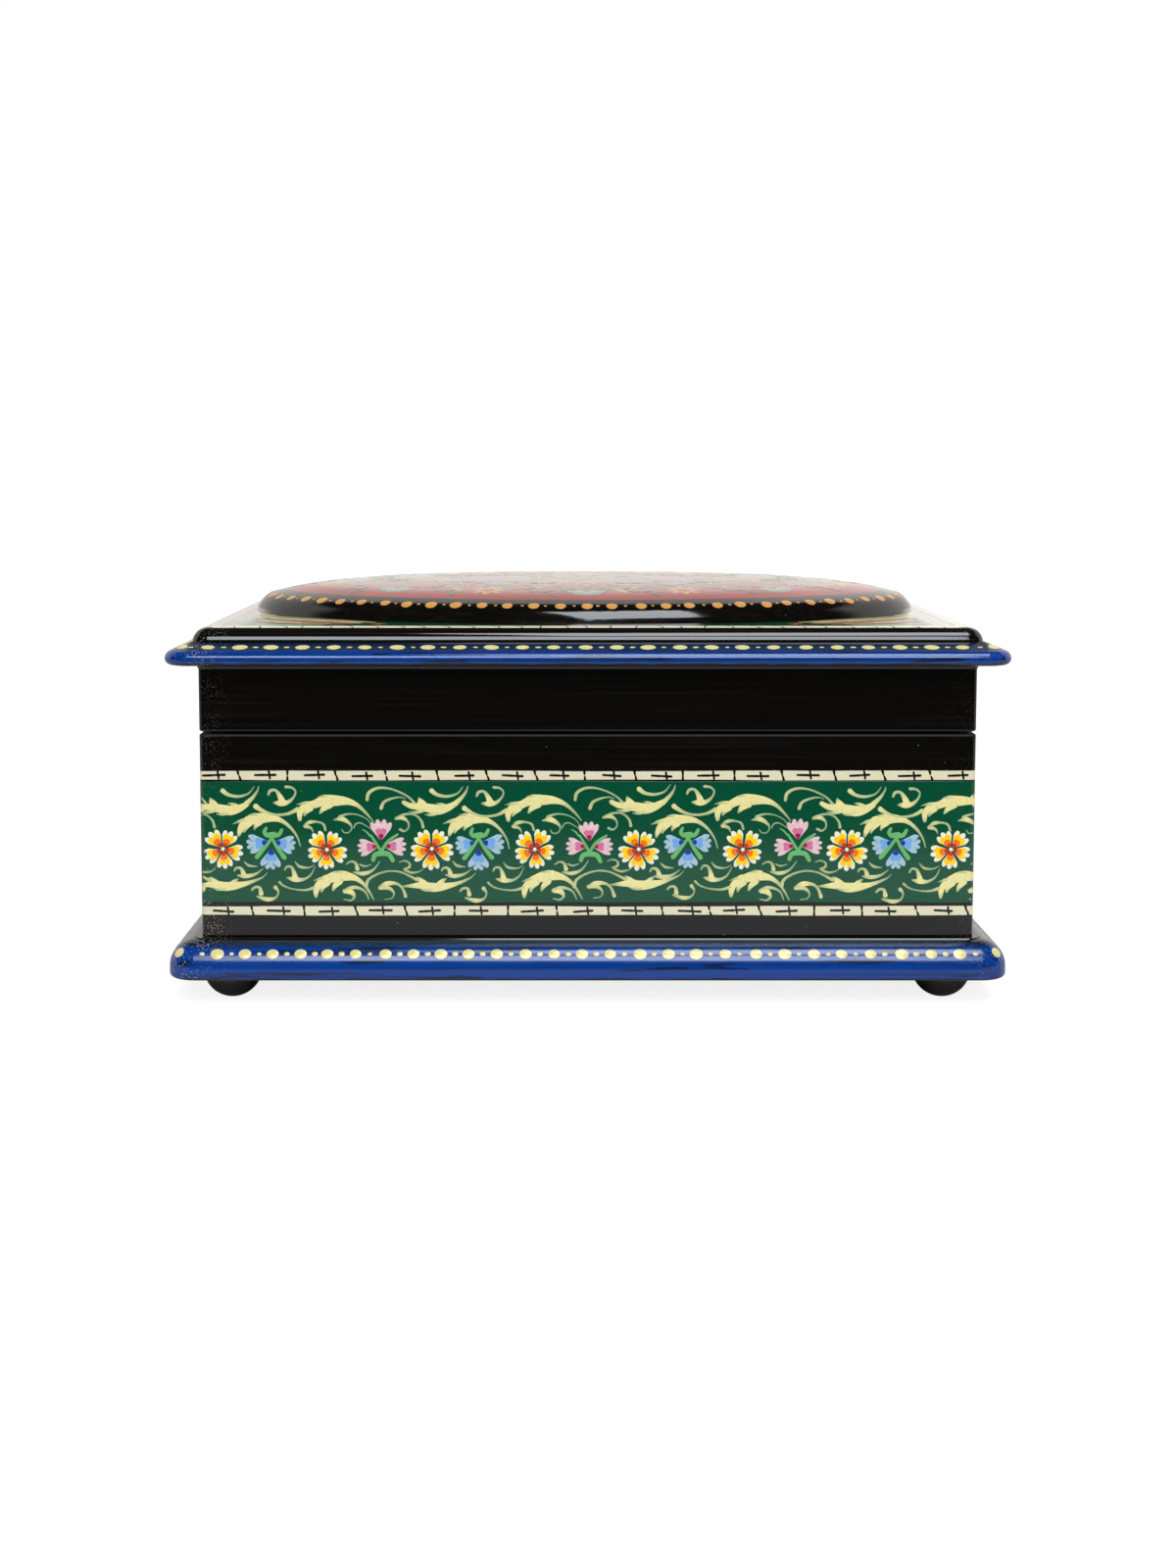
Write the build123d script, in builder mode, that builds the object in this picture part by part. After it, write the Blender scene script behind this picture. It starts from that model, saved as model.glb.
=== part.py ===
from build123d import *
import os
from math import erf

# A lacquered papier mache keepsake box: a wooden carcass of four mitred walls on a moulded base board,
# four turned bun feet, and a lid of four mitred rails under a moulded lid board with a raised oval dome.
# The lid turns on two brass butt hinges at the back, and the inside is lined with velvet over card.
#
# Frame: origin on the table under the middle of the box, +X along its length, +Y to the hinged back, +Z up.
# All sizes are millimetres.

# ---- Driving dimensions -------------------------------------------------------------------------------

# Carcass
body_length = 238.0
body_depth = 162.0
wall_thickness = 8.0
wall_height = 63.2
wall_corner_radius = 1.8
seam_gap = 0.8
seam_edge_radius = 0.6

# Base board
base_board_thickness = 11.2
base_overhang = 9.6
base_top_radius = 8.0
base_bottom_radius = 1.2
base_corner_spare = 0.6

# Feet
foot_diameter = 18.4
foot_height = 9.0
foot_inset = 17.9
foot_spigot_diameter = 6.0
foot_spigot_length = 6.0
spigot_clearance = 0.1

# Lid
rail_height = 20.9
lid_overhang = 9.5
lid_corner_radius = 8.1
lid_moulding_thickness = 6.8
lid_moulding_slope_drop = 3.0
lid_moulding_slope_tuck = 0.5
lid_moulding_nose_radius = 2.5
lid_moulding_bottom_radius = 2.0
lid_step_overhang = 2.0
lid_step_height = 4.3
lid_step_sink = 1.0
lid_step_corner_radius = 5.4
lid_step_edge_radius = 5.0
lid_lip_height = 1.6
lid_lip_overhang = 0.8
lid_lip_taper = 22.0

# Raised oval dome on the lid board
dome_end_margin = 6.2
dome_side_margin = 11.3
dome_rise = 11.3
dome_shoulder_rise = 4.1
dome_shoulder_reach = 2.95
dome_crown_power = 3.4
dome_section_count = 14
dome_section_crowding = 2.0
dome_flat_share = 0.06

# Lining
floor_lining_thickness = 1.5
wall_lining_thickness = 1.2
wall_lining_drop = 2.5
lid_lining_thickness = 1.8
lining_clearance = 0.15

# Hinges
hinge_end_distance = 47.0
hinge_length = 24.0
leaf_thickness = 1.0
leaf_inset = 5.5
knuckle_diameter = 4.0
knuckle_wall_gap = 0.3
knuckle_end_gap = 0.15
knuckle_count = 3
pin_diameter = 1.8
pin_clearance = 0.05
pin_head_diameter = 2.8
pin_head_length = 0.5
mortise_clearance = 0.05
screw_spacing = 13.0
screw_edge_distance = 3.0
screw_diameter = 1.8
screw_head_diameter = 3.4
screw_head_height = 0.8
screw_length = 9.0
screw_clearance = 0.03
screw_slot_width = 0.45
screw_slot_depth = 0.35

# ---- Levels and places worked out from them ------------------------------------------------------------

base_bottom = foot_height
base_top = base_bottom + base_board_thickness
base_corner_radius = base_top_radius + base_corner_spare
wall_top = base_top + wall_height
rail_bottom = wall_top + seam_gap
rail_top = rail_bottom + rail_height
step_bottom = rail_top + lid_moulding_thickness
plate_level = step_bottom + lid_step_height

inner_length = body_length - 2 * wall_thickness
inner_depth = body_depth - 2 * wall_thickness
back_face = body_depth / 2

foot_x = body_length / 2 + base_overhang - foot_inset
foot_y = body_depth / 2 + base_overhang - foot_inset
foot_flat_radius = ((foot_diameter / 2) ** 2 - foot_height**2) ** 0.5

dome_half_length = body_length / 2 - dome_end_margin
dome_half_depth = body_depth / 2 - dome_side_margin

hinge_offset = body_length / 2 - hinge_end_distance
hinge_axis_y = back_face + knuckle_wall_gap + knuckle_diameter / 2
hinge_axis_z = wall_top + seam_gap / 2
knuckle_pitch = hinge_length / knuckle_count
screw_y = back_face - screw_edge_distance

os.makedirs("parts", exist_ok=True)


def save(piece, name):
    """Labels a finished piece with its node's name and writes it as one STEP file."""
    piece.part.label = name
    export_step(piece.part, f"parts/{name}.step")


# ---- Base board and feet -------------------------------------------------------------------------------

corners = {
    "front_left": (-foot_x, -foot_y),
    "front_right": (foot_x, -foot_y),
    "back_left": (-foot_x, foot_y),
    "back_right": (foot_x, foot_y),
}

# One plank with a rounded moulding all round, drilled from below for the feet's spigots.
with BuildPart() as base_board:
    with BuildSketch(Plane.XY.offset(base_bottom)):
        RectangleRounded(
            body_length + 2 * base_overhang, body_depth + 2 * base_overhang, base_corner_radius
        )
    extrude(amount=base_board_thickness)
    fillet(base_board.faces().sort_by(Axis.Z)[-1].edges(), base_top_radius)
    fillet(base_board.faces().sort_by(Axis.Z)[0].edges(), base_bottom_radius)
    with BuildSketch(Plane.XY.offset(base_bottom)):
        with Locations(*corners.values()):
            Circle(foot_spigot_diameter / 2 + spigot_clearance)
    extrude(amount=foot_spigot_length + spigot_clearance, mode=Mode.SUBTRACT)
save(base_board, "base_board")


def bun_foot(place):
    """Half a turned ball with a small flat to stand on and a spigot glued up into the base board."""
    x, y = place
    with BuildPart() as foot:
        with BuildSketch(Plane(origin=(x, y, 0), x_dir=(1, 0, 0), z_dir=(0, -1, 0))):
            with BuildLine():
                Line((0, 0), (foot_flat_radius, 0))
                RadiusArc((foot_flat_radius, 0), (foot_diameter / 2, foot_height), -foot_diameter / 2)
                Line((foot_diameter / 2, foot_height), (foot_spigot_diameter / 2, foot_height))
                Line(
                    (foot_spigot_diameter / 2, foot_height),
                    (foot_spigot_diameter / 2, foot_height + foot_spigot_length),
                )
                Line(
                    (foot_spigot_diameter / 2, foot_height + foot_spigot_length),
                    (0, foot_height + foot_spigot_length),
                )
                Line((0, foot_height + foot_spigot_length), (0, 0))
            make_face()
        revolve(axis=Axis((x, y, 0), (0, 0, 1)))
    return foot


for corner, place in corners.items():
    save(bun_foot(place), f"{corner}_foot")


# ---- Mitred walls and rails ----------------------------------------------------------------------------


def mitred_frame(bottom, height, seam_side):
    """A hollow rectangle of upright boards, with the outer edge beside the lid's seam softened."""
    with BuildPart() as frame:
        with BuildSketch(Plane.XY.offset(bottom)):
            RectangleRounded(body_length, body_depth, wall_corner_radius)
            Rectangle(inner_length, inner_depth, mode=Mode.SUBTRACT)
        extrude(amount=height)
        seam_face = frame.faces().sort_by(Axis.Z)[seam_side]
        fillet(seam_face.outer_wire().edges(), seam_edge_radius)
    return frame


def board_outline(side):
    """The plan of one board between its two mitres, carried on outwards past the frame."""
    half_length = body_length / 2
    half_depth = body_depth / 2
    far_x = half_length + wall_thickness
    far_y = half_depth + wall_thickness
    near_x = half_length - wall_thickness
    near_y = half_depth - wall_thickness
    outlines = {
        "front": [(-far_x, -far_y), (far_x, -far_y), (near_x, -near_y), (-near_x, -near_y)],
        "back": [(far_x, far_y), (-far_x, far_y), (-near_x, near_y), (near_x, near_y)],
        "left": [(-far_x, far_y), (-far_x, -far_y), (-near_x, -near_y), (-near_x, near_y)],
        "right": [(far_x, -far_y), (far_x, far_y), (near_x, near_y), (near_x, -near_y)],
    }
    return outlines[side]


def mitred_board(frame, side, bottom, height):
    """One side of a frame, cut out between its mitres."""
    with BuildPart() as board:
        add(frame.part)
        with BuildSketch(Plane.XY.offset(bottom)):
            Polygon(*board_outline(side), align=None)
        extrude(amount=height, mode=Mode.INTERSECT)
    return board


def cut_hinge_seats(board, seat_level, into_wood):
    """A board with a mortise for each hinge leaf and a pilot hole for each of its screws."""
    seat_plane = Plane.XY.offset(seat_level)
    with BuildPart() as seated:
        add(board.part)
        for hinge_x in (-hinge_offset, hinge_offset):
            with BuildSketch(seat_plane):
                with Locations((hinge_x, back_face)):
                    Rectangle(
                        hinge_length + 2 * mortise_clearance,
                        2 * (leaf_inset + mortise_clearance),
                    )
            extrude(amount=into_wood * leaf_thickness, mode=Mode.SUBTRACT)
            with BuildSketch(seat_plane):
                with Locations(*screw_places(hinge_x)):
                    Circle(screw_diameter / 2 + screw_clearance)
            extrude(amount=into_wood * (screw_length + screw_clearance), mode=Mode.SUBTRACT)
    return seated


def screw_places(hinge_x):
    """The two screw centres of one leaf."""
    return [(hinge_x - screw_spacing / 2, screw_y), (hinge_x + screw_spacing / 2, screw_y)]


body_frame = mitred_frame(base_top, wall_height, seam_side=-1)
for side in ("front", "left", "right"):
    save(mitred_board(body_frame, side, base_top, wall_height), f"body_{side}_wall")
body_back = mitred_board(body_frame, "back", base_top, wall_height)
save(cut_hinge_seats(body_back, wall_top, into_wood=-1), "body_back_wall")

lid_frame = mitred_frame(rail_bottom, rail_height, seam_side=0)
for side in ("front", "left", "right"):
    save(mitred_board(lid_frame, side, rail_bottom, rail_height), f"lid_{side}_rail")
lid_back = mitred_board(lid_frame, "back", rail_bottom, rail_height)
save(cut_hinge_seats(lid_back, rail_bottom, into_wood=1), "lid_back_rail")


# ---- Lid board and dome --------------------------------------------------------------------------------

# The rounded step that frames the flat plate, sunk a little into the moulding below it.
with BuildPart() as lid_step:
    with BuildSketch(Plane.XY.offset(step_bottom - lid_step_sink)):
        RectangleRounded(
            body_length + 2 * lid_step_overhang,
            body_depth + 2 * lid_step_overhang,
            lid_step_corner_radius,
        )
    extrude(amount=lid_step_height + lid_step_sink)
    fillet(lid_step.faces().sort_by(Axis.Z)[-1].edges(), lid_step_edge_radius)

# A sloping nosed moulding under the step, and below it a small tapered lip that runs round the rails
# and covers their joint.
with BuildPart() as lid_board:
    with BuildSketch(Plane.XY.offset(rail_top)):
        RectangleRounded(
            body_length + 2 * lid_overhang, body_depth + 2 * lid_overhang, lid_corner_radius
        )
    extrude(amount=lid_moulding_thickness)
    moulding_top = lid_board.faces().sort_by(Axis.Z)[-1]
    chamfer(
        moulding_top.edges(),
        lid_overhang - lid_step_overhang + lid_moulding_slope_tuck,
        lid_moulding_slope_drop,
        reference=moulding_top,
    )
    nose_level = step_bottom - lid_moulding_slope_drop
    nose_edges = lid_board.edges().filter_by_position(Axis.Z, nose_level - 0.01, nose_level + 0.01)
    fillet(nose_edges, lid_moulding_nose_radius)
    fillet(lid_board.faces().sort_by(Axis.Z)[0].edges(), lid_moulding_bottom_radius)
    add(lid_step.part)
    with BuildSketch(Plane.XY.offset(rail_top)):
        RectangleRounded(
            body_length + 2 * lid_lip_overhang,
            body_depth + 2 * lid_lip_overhang,
            wall_corner_radius + lid_lip_overhang,
        )
    extrude(amount=-lid_lip_height, taper=lid_lip_taper)
    with BuildSketch(Plane.XY.offset(rail_top)):
        RectangleRounded(body_length, body_depth, wall_corner_radius)
    extrude(amount=-lid_lip_height, mode=Mode.SUBTRACT)
save(lid_board, "lid_board")


def dome_height(inset):
    """Height above the plate at a distance in from the dome's foot: a quick shoulder, then a slow crown."""
    shoulder = dome_shoulder_rise * erf(inset / dome_shoulder_reach)
    crown = (dome_rise - dome_shoulder_rise) * (1 - (1 - inset / dome_half_depth) ** dome_crown_power)
    return shoulder + crown


def dome_end_inset(inset):
    """The same step inwards at the dome's ends, which draws both ends together at the crown."""
    return inset + (dome_half_length - dome_half_depth) * (inset / dome_half_depth) ** 2


# The sections crowd towards the steep foot, and the last one leaves a small flat at the crown.
last_inset = dome_half_depth * (1 - dome_flat_share)
last_section = dome_section_count - 1

with BuildPart() as lid_dome:
    for section in range(dome_section_count):
        inset = last_inset * (section / last_section) ** dome_section_crowding
        with BuildSketch(Plane.XY.offset(plate_level + dome_height(inset))):
            Ellipse(dome_half_length - dome_end_inset(inset), dome_half_depth - inset)
    loft()
save(lid_dome, "lid_dome")


# ---- Velvet lining -------------------------------------------------------------------------------------

lined_length = inner_length - 2 * lining_clearance
lined_depth = inner_depth - 2 * lining_clearance
floor_lining_top = base_top + floor_lining_thickness
wall_lining_height = wall_top - wall_lining_drop - floor_lining_top


def card(length, depth, level, thickness, x=0.0, y=0.0):
    """One flat card panel covered in velvet, standing or lying at a level."""
    with BuildPart() as panel:
        with BuildSketch(Plane.XY.offset(level)):
            with Locations((x, y)):
                Rectangle(length, depth)
        extrude(amount=thickness)
    return panel


save(card(lined_length, lined_depth, base_top, floor_lining_thickness), "floor_lining")

card_y = inner_depth / 2 - lining_clearance - wall_lining_thickness / 2
card_x = inner_length / 2 - lining_clearance - wall_lining_thickness / 2
side_card_depth = lined_depth - 2 * wall_lining_thickness - 2 * lining_clearance
for side, direction in (("front", -1), ("back", 1)):
    panel = card(
        lined_length,
        wall_lining_thickness,
        floor_lining_top,
        wall_lining_height,
        y=direction * card_y,
    )
    save(panel, f"{side}_wall_lining")
for side, direction in (("left", -1), ("right", 1)):
    panel = card(
        wall_lining_thickness,
        side_card_depth,
        floor_lining_top,
        wall_lining_height,
        x=direction * card_x,
    )
    save(panel, f"{side}_wall_lining")

save(
    card(lined_length, lined_depth, rail_top - lid_lining_thickness, lid_lining_thickness),
    "lid_lining",
)


# ---- Hinges --------------------------------------------------------------------------------------------


def hinge_leaf(hinge_x, knuckles, up):
    """One leaf of a butt hinge: a plate let into the wood, its knuckles, the pin's bore and the countersinks.

    up is +1 for the leaf under the lid and -1 for the leaf on the body.
    """
    bore_radius = pin_diameter / 2 + pin_clearance
    seat = hinge_axis_z + up * seam_gap / 2
    with BuildPart() as leaf:
        with BuildSketch(Plane.XY.offset(seat)):
            with Locations((hinge_x, back_face - leaf_inset / 2)):
                Rectangle(hinge_length, leaf_inset)
        extrude(amount=up * leaf_thickness)
        for index in knuckles:
            start = hinge_x - hinge_length / 2 + index * knuckle_pitch + knuckle_end_gap / 2
            width = knuckle_pitch - knuckle_end_gap
            tongue = hinge_axis_y - back_face
            with BuildSketch(Plane.XY.offset(seat)):
                with Locations((start + width / 2, back_face + tongue / 2)):
                    Rectangle(width, tongue)
            extrude(amount=up * leaf_thickness)
            with BuildSketch(Plane.YZ.offset(start)):
                with Locations((hinge_axis_y, hinge_axis_z)):
                    Circle(knuckle_diameter / 2)
            extrude(amount=width)
        with BuildSketch(Plane.YZ.offset(hinge_x - hinge_length / 2)):
            with Locations((hinge_axis_y, hinge_axis_z)):
                Circle(bore_radius)
        extrude(amount=hinge_length, mode=Mode.SUBTRACT)
        for x, y in screw_places(hinge_x):
            with BuildSketch(Plane(origin=(x, y, seat), z_dir=(0, 0, up))):
                Circle(screw_head_diameter / 2 + screw_clearance)
            with BuildSketch(Plane(origin=(x, y, seat + up * screw_head_height), z_dir=(0, 0, up))):
                Circle(screw_diameter / 2 + screw_clearance)
            loft(mode=Mode.SUBTRACT)
            with BuildSketch(Plane(origin=(x, y, seat), z_dir=(0, 0, up))):
                Circle(screw_diameter / 2 + screw_clearance)
            extrude(amount=leaf_thickness, mode=Mode.SUBTRACT)
    return leaf


def hinge_pin(hinge_x):
    """A plain pin with a flat head at each end, clear of the end knuckles."""
    half_shank = hinge_length / 2
    with BuildPart() as pin:
        with BuildSketch(Plane.YZ.offset(hinge_x - half_shank)):
            with Locations((hinge_axis_y, hinge_axis_z)):
                Circle(pin_diameter / 2)
        extrude(amount=2 * half_shank)
        for end, direction in ((hinge_x - half_shank, -1), (hinge_x + half_shank, 1)):
            with BuildSketch(Plane.YZ.offset(end)):
                with Locations((hinge_axis_y, hinge_axis_z)):
                    Circle(pin_head_diameter / 2)
            extrude(amount=direction * pin_head_length)
    return pin


def leaf_screws(up):
    """The four countersunk screws that hold the two leaves on one side of the seam."""
    seat = hinge_axis_z + up * seam_gap / 2
    with BuildPart() as screws:
        for hinge_x in (-hinge_offset, hinge_offset):
            for x, y in screw_places(hinge_x):
                with BuildSketch(Plane(origin=(x, y, seat), z_dir=(0, 0, up))):
                    Circle(screw_head_diameter / 2)
                with BuildSketch(Plane(origin=(x, y, seat + up * screw_head_height), z_dir=(0, 0, up))):
                    Circle(screw_diameter / 2)
                loft()
                with BuildSketch(Plane(origin=(x, y, seat + up * screw_head_height), z_dir=(0, 0, up))):
                    Circle(screw_diameter / 2)
                extrude(amount=screw_length - screw_head_height)
                with BuildSketch(Plane(origin=(x, y, seat), z_dir=(0, 0, up))):
                    Rectangle(screw_head_diameter, screw_slot_width)
                extrude(amount=screw_slot_depth, mode=Mode.SUBTRACT)
    return screws


for side, hinge_x in (("left", -hinge_offset), ("right", hinge_offset)):
    body_knuckles = range(0, knuckle_count, 2)
    lid_knuckles = range(1, knuckle_count, 2)
    save(hinge_leaf(hinge_x, body_knuckles, up=-1), f"{side}_hinge_body_leaf")
    save(hinge_leaf(hinge_x, lid_knuckles, up=1), f"{side}_hinge_lid_leaf")
    save(hinge_pin(hinge_x), f"{side}_hinge_pin")
save(leaf_screws(up=-1), "body_leaf_screws")
save(leaf_screws(up=1), "lid_leaf_screws")
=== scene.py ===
"""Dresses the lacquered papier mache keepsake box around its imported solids.

The painting and the surfaces it lies on are laid out in millimetres, and everything else is in metres.
"""

import logging
import math
import random
from collections.abc import Callable, Iterable, Mapping, Sequence
from dataclasses import dataclass, replace
from enum import Enum
from itertools import pairwise

import bmesh
import bpy
from bpy.types import Material, Mesh, Node, NodeSocket, NodeTree, Object, World
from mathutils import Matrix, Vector
from mathutils.bvhtree import BVHTree


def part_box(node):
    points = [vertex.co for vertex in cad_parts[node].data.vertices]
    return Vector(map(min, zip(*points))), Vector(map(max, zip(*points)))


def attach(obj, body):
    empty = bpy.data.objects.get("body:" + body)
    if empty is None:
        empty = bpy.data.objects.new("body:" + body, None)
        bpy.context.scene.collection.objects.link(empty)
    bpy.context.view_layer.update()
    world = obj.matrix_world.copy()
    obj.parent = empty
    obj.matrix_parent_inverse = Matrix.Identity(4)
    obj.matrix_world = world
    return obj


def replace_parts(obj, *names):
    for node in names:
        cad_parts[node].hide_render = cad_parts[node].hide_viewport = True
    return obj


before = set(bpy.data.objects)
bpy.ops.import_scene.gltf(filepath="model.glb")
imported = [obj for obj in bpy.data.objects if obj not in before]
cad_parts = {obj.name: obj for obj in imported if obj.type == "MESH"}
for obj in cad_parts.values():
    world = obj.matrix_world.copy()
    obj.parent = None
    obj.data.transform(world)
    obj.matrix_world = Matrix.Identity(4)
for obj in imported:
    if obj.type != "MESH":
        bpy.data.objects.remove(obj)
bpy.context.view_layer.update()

MM = 0.001
LOG = logging.getLogger("keepsake_box")
SEED = 11

Colour = tuple[float, float, float, float]
Point = tuple[float, float]
StrokePoint = tuple[float, float, float]
Filling = Callable[..., NodeSocket]


def tone(red: int, green: int, blue: int) -> Colour:
    """Turns an everyday 0-255 paint tone into linear light.

    Args:
        red: Red share of the tone.
        green: Green share of the tone.
        blue: Blue share of the tone.

    Returns:
        The linear colour with full alpha.
    """

    def linear(value: int) -> float:
        """Turns one share of the tone into linear light."""
        share = value / 255
        return share / 12.92 if share <= 0.04045 else ((share + 0.055) / 1.055) ** 2.4

    return (linear(red), linear(green), linear(blue), 1.0)


class Tones:
    """The paint pots of the box, mixed once."""

    BLACK = tone(5, 4, 3)
    SOFT_BLACK = tone(22, 17, 12)
    BLUE = tone(0, 54, 131)
    DEEP_BLUE = tone(2, 30, 84)
    SLATE_BLUE = tone(10, 34, 62)
    WORN_BLUE = tone(6, 20, 40)
    GREEN = tone(0, 74, 48)
    DEEP_GREEN = tone(0, 58, 38)
    CREAM = tone(222, 216, 184)
    SCROLL = tone(230, 220, 152)
    THIN_SCROLL = tone(136, 162, 122)
    DOT = tone(206, 196, 132)
    GOLD_DOT = tone(198, 140, 68)
    WHITE = tone(232, 230, 208)
    THIN_WHITE = tone(156, 180, 158)
    YELLOW = tone(250, 204, 8)
    ORANGE = tone(240, 112, 24)
    RED = tone(200, 46, 16)
    PALE_BLUE = tone(160, 190, 206)
    MID_BLUE = tone(112, 162, 214)
    DARK_BLUE = tone(22, 48, 164)
    SEPAL = tone(102, 176, 104)
    PALE_PINK = tone(224, 190, 194)
    MID_PINK = tone(204, 110, 148)
    CRIMSON = tone(152, 20, 70)
    FIELD_RED = tone(150, 24, 16)
    DEEP_RED = tone(108, 16, 12)
    OLD_CREAM = tone(166, 156, 112)
    OLD_LEAF = tone(66, 88, 54)
    OLD_BLUE = tone(118, 136, 134)
    OLD_GOLD = tone(186, 140, 62)
    OLD_ORANGE = tone(166, 78, 44)
    BROWN_RED = tone(132, 54, 34)
    TAN = tone(150, 112, 84)
    LEAF_GREEN = tone(58, 128, 62)
    DUST = tone(168, 160, 146)
    VELVET = tone(116, 10, 22)
    BRASS = tone(205, 160, 84)
    TARNISH = tone(120, 84, 38)


def extent(node: str, axis: int) -> float:
    """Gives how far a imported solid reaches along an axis, in metres."""
    return round(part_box(node)[1][axis], 5)


@dataclass(frozen=True)
class Carcass:
    """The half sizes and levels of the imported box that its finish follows, in metres."""

    half_length: float = extent("body_right_wall", 0)
    half_depth: float = extent("body_back_wall", 1)
    base_level: float = extent("base_board", 2)
    wall_top: float = extent("body_back_wall", 2)
    rail_top: float = extent("lid_back_rail", 2)
    plate_level: float = extent("lid_board", 2)
    untouched: float = 0.075
    polished_dome: tuple[float, float] = (0.1016, 0.0601)


def stand(mesh: Mesh, body: str) -> Object:
    """Sets a finished mesh on its body and returns the piece."""
    piece = bpy.data.objects.new(mesh.name, mesh)
    bpy.context.scene.collection.objects.link(piece)
    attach(piece, body)
    LOG.info("%s: %d faces", piece.name, len(mesh.polygons))
    return piece


# ----------------------------------------
# Node helpers and shared effects


class Graph:
    """Adds and links shader nodes in one tree."""

    def __init__(self, tree: NodeTree) -> None:
        """Keeps the tree that nodes go into."""
        self.tree = tree

    @classmethod
    def cleared(cls, owner: Material | World) -> "Graph":
        """Gives a material or a world an empty tree and returns its graph."""
        owner.use_nodes = True
        owner.node_tree.nodes.clear()
        return cls(owner.node_tree)

    def add(self, kind: str, **settings: object) -> Node:
        """Adds a node.

        Args:
            kind: Blender's node type name without the ShaderNode prefix.
            **settings: Attributes to set on the node.

        Returns:
            The new node.
        """
        node = self.tree.nodes.new("ShaderNode" + kind)
        for name, value in settings.items():
            setattr(node, name, value)
        return node

    def link(self, source: object, target: NodeSocket) -> None:
        """Feeds a socket from another one, or sets it to a plain value."""
        if isinstance(source, NodeSocket):
            self.tree.links.new(source, target)
        else:
            target.default_value = source

    def math(self, operation: str, first: object, second: object = 0.0, clamp: bool = False) -> NodeSocket:
        """Adds a Math node fed by sockets or numbers and returns its result."""
        node = self.add("Math", operation=operation, use_clamp=clamp)
        self.link(first, node.inputs[0])
        self.link(second, node.inputs[1])
        return node.outputs[0]

    def times(self, first: object, second: object, clamp: bool = False) -> NodeSocket:
        """Multiplies two values and returns the product."""
        return self.math("MULTIPLY", first, second, clamp)

    def plus(self, first: object, second: object, clamp: bool = False) -> NodeSocket:
        """Adds two values and returns the sum."""
        return self.math("ADD", first, second, clamp)

    def minus(self, first: object, second: object, clamp: bool = False) -> NodeSocket:
        """Takes the second value from the first and returns the rest."""
        return self.math("SUBTRACT", first, second, clamp)

    def ramp(self, value: NodeSocket, low: float, high: float) -> NodeSocket:
        """Maps a value to 0 at low and 1 at high, smoothly, and returns the result."""
        node = self.add("MapRange", interpolation_type="SMOOTHSTEP")
        self.link(value, node.inputs["Value"])
        self.link(low, node.inputs["From Min"])
        self.link(high, node.inputs["From Max"])
        return node.outputs["Result"]

    def mix(self, factor: object, first: object, second: object) -> NodeSocket:
        """Mixes two colours, given as sockets or values, and returns the result."""
        node = self.add("Mix", data_type="RGBA")
        for index, value in ((0, factor), (6, first), (7, second)):
            self.link(value, node.inputs[index])
        return node.outputs[2]

    def choose(self, factor: object, first: object, second: object) -> NodeSocket:
        """Mixes two numbers, given as sockets or values, and returns the result."""
        node = self.add("Mix", data_type="FLOAT")
        for index, value in ((0, factor), (2, first), (3, second)):
            self.link(value, node.inputs[index])
        return node.outputs[0]

    def noise(self, vector: NodeSocket, scale: object, detail: float = 2.0) -> NodeSocket:
        """Adds a noise texture and returns its factor."""
        node = self.add("TexNoise")
        for name, value in (("Vector", vector), ("Scale", scale), ("Detail", detail)):
            self.link(value, node.inputs[name])
        return node.outputs[0]

    def split(self, vector: NodeSocket) -> tuple[NodeSocket, ...]:
        """Returns the three numbers of a vector."""
        node = self.add("SeparateXYZ")
        self.link(vector, node.inputs[0])
        return tuple(node.outputs)

    def oval(self, vector: NodeSocket, half_length: float, half_depth: float) -> NodeSocket:
        """Returns 1 on the edge of an oval about the middle, less inside it and more outside."""
        squares = []
        for value, half in zip(self.split(vector), (half_length, half_depth), strict=False):
            share = self.math("DIVIDE", value, half)
            squares.append(self.times(share, share))
        return self.math("SQRT", self.plus(*squares))

    def emboss(self, height: NodeSocket, shader: Node) -> None:
        """Raises a shader's surface by a height in metres."""
        bump = self.add("Bump")
        self.link(1.0, bump.inputs["Distance"])
        self.link(height, bump.inputs["Height"])
        self.link(bump.outputs[0], shader.inputs["Normal"])

    def object_coordinates(self) -> NodeSocket:
        """Returns coordinates that stay with the piece as it moves."""
        return self.add("TexCoord").outputs["Object"]


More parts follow.
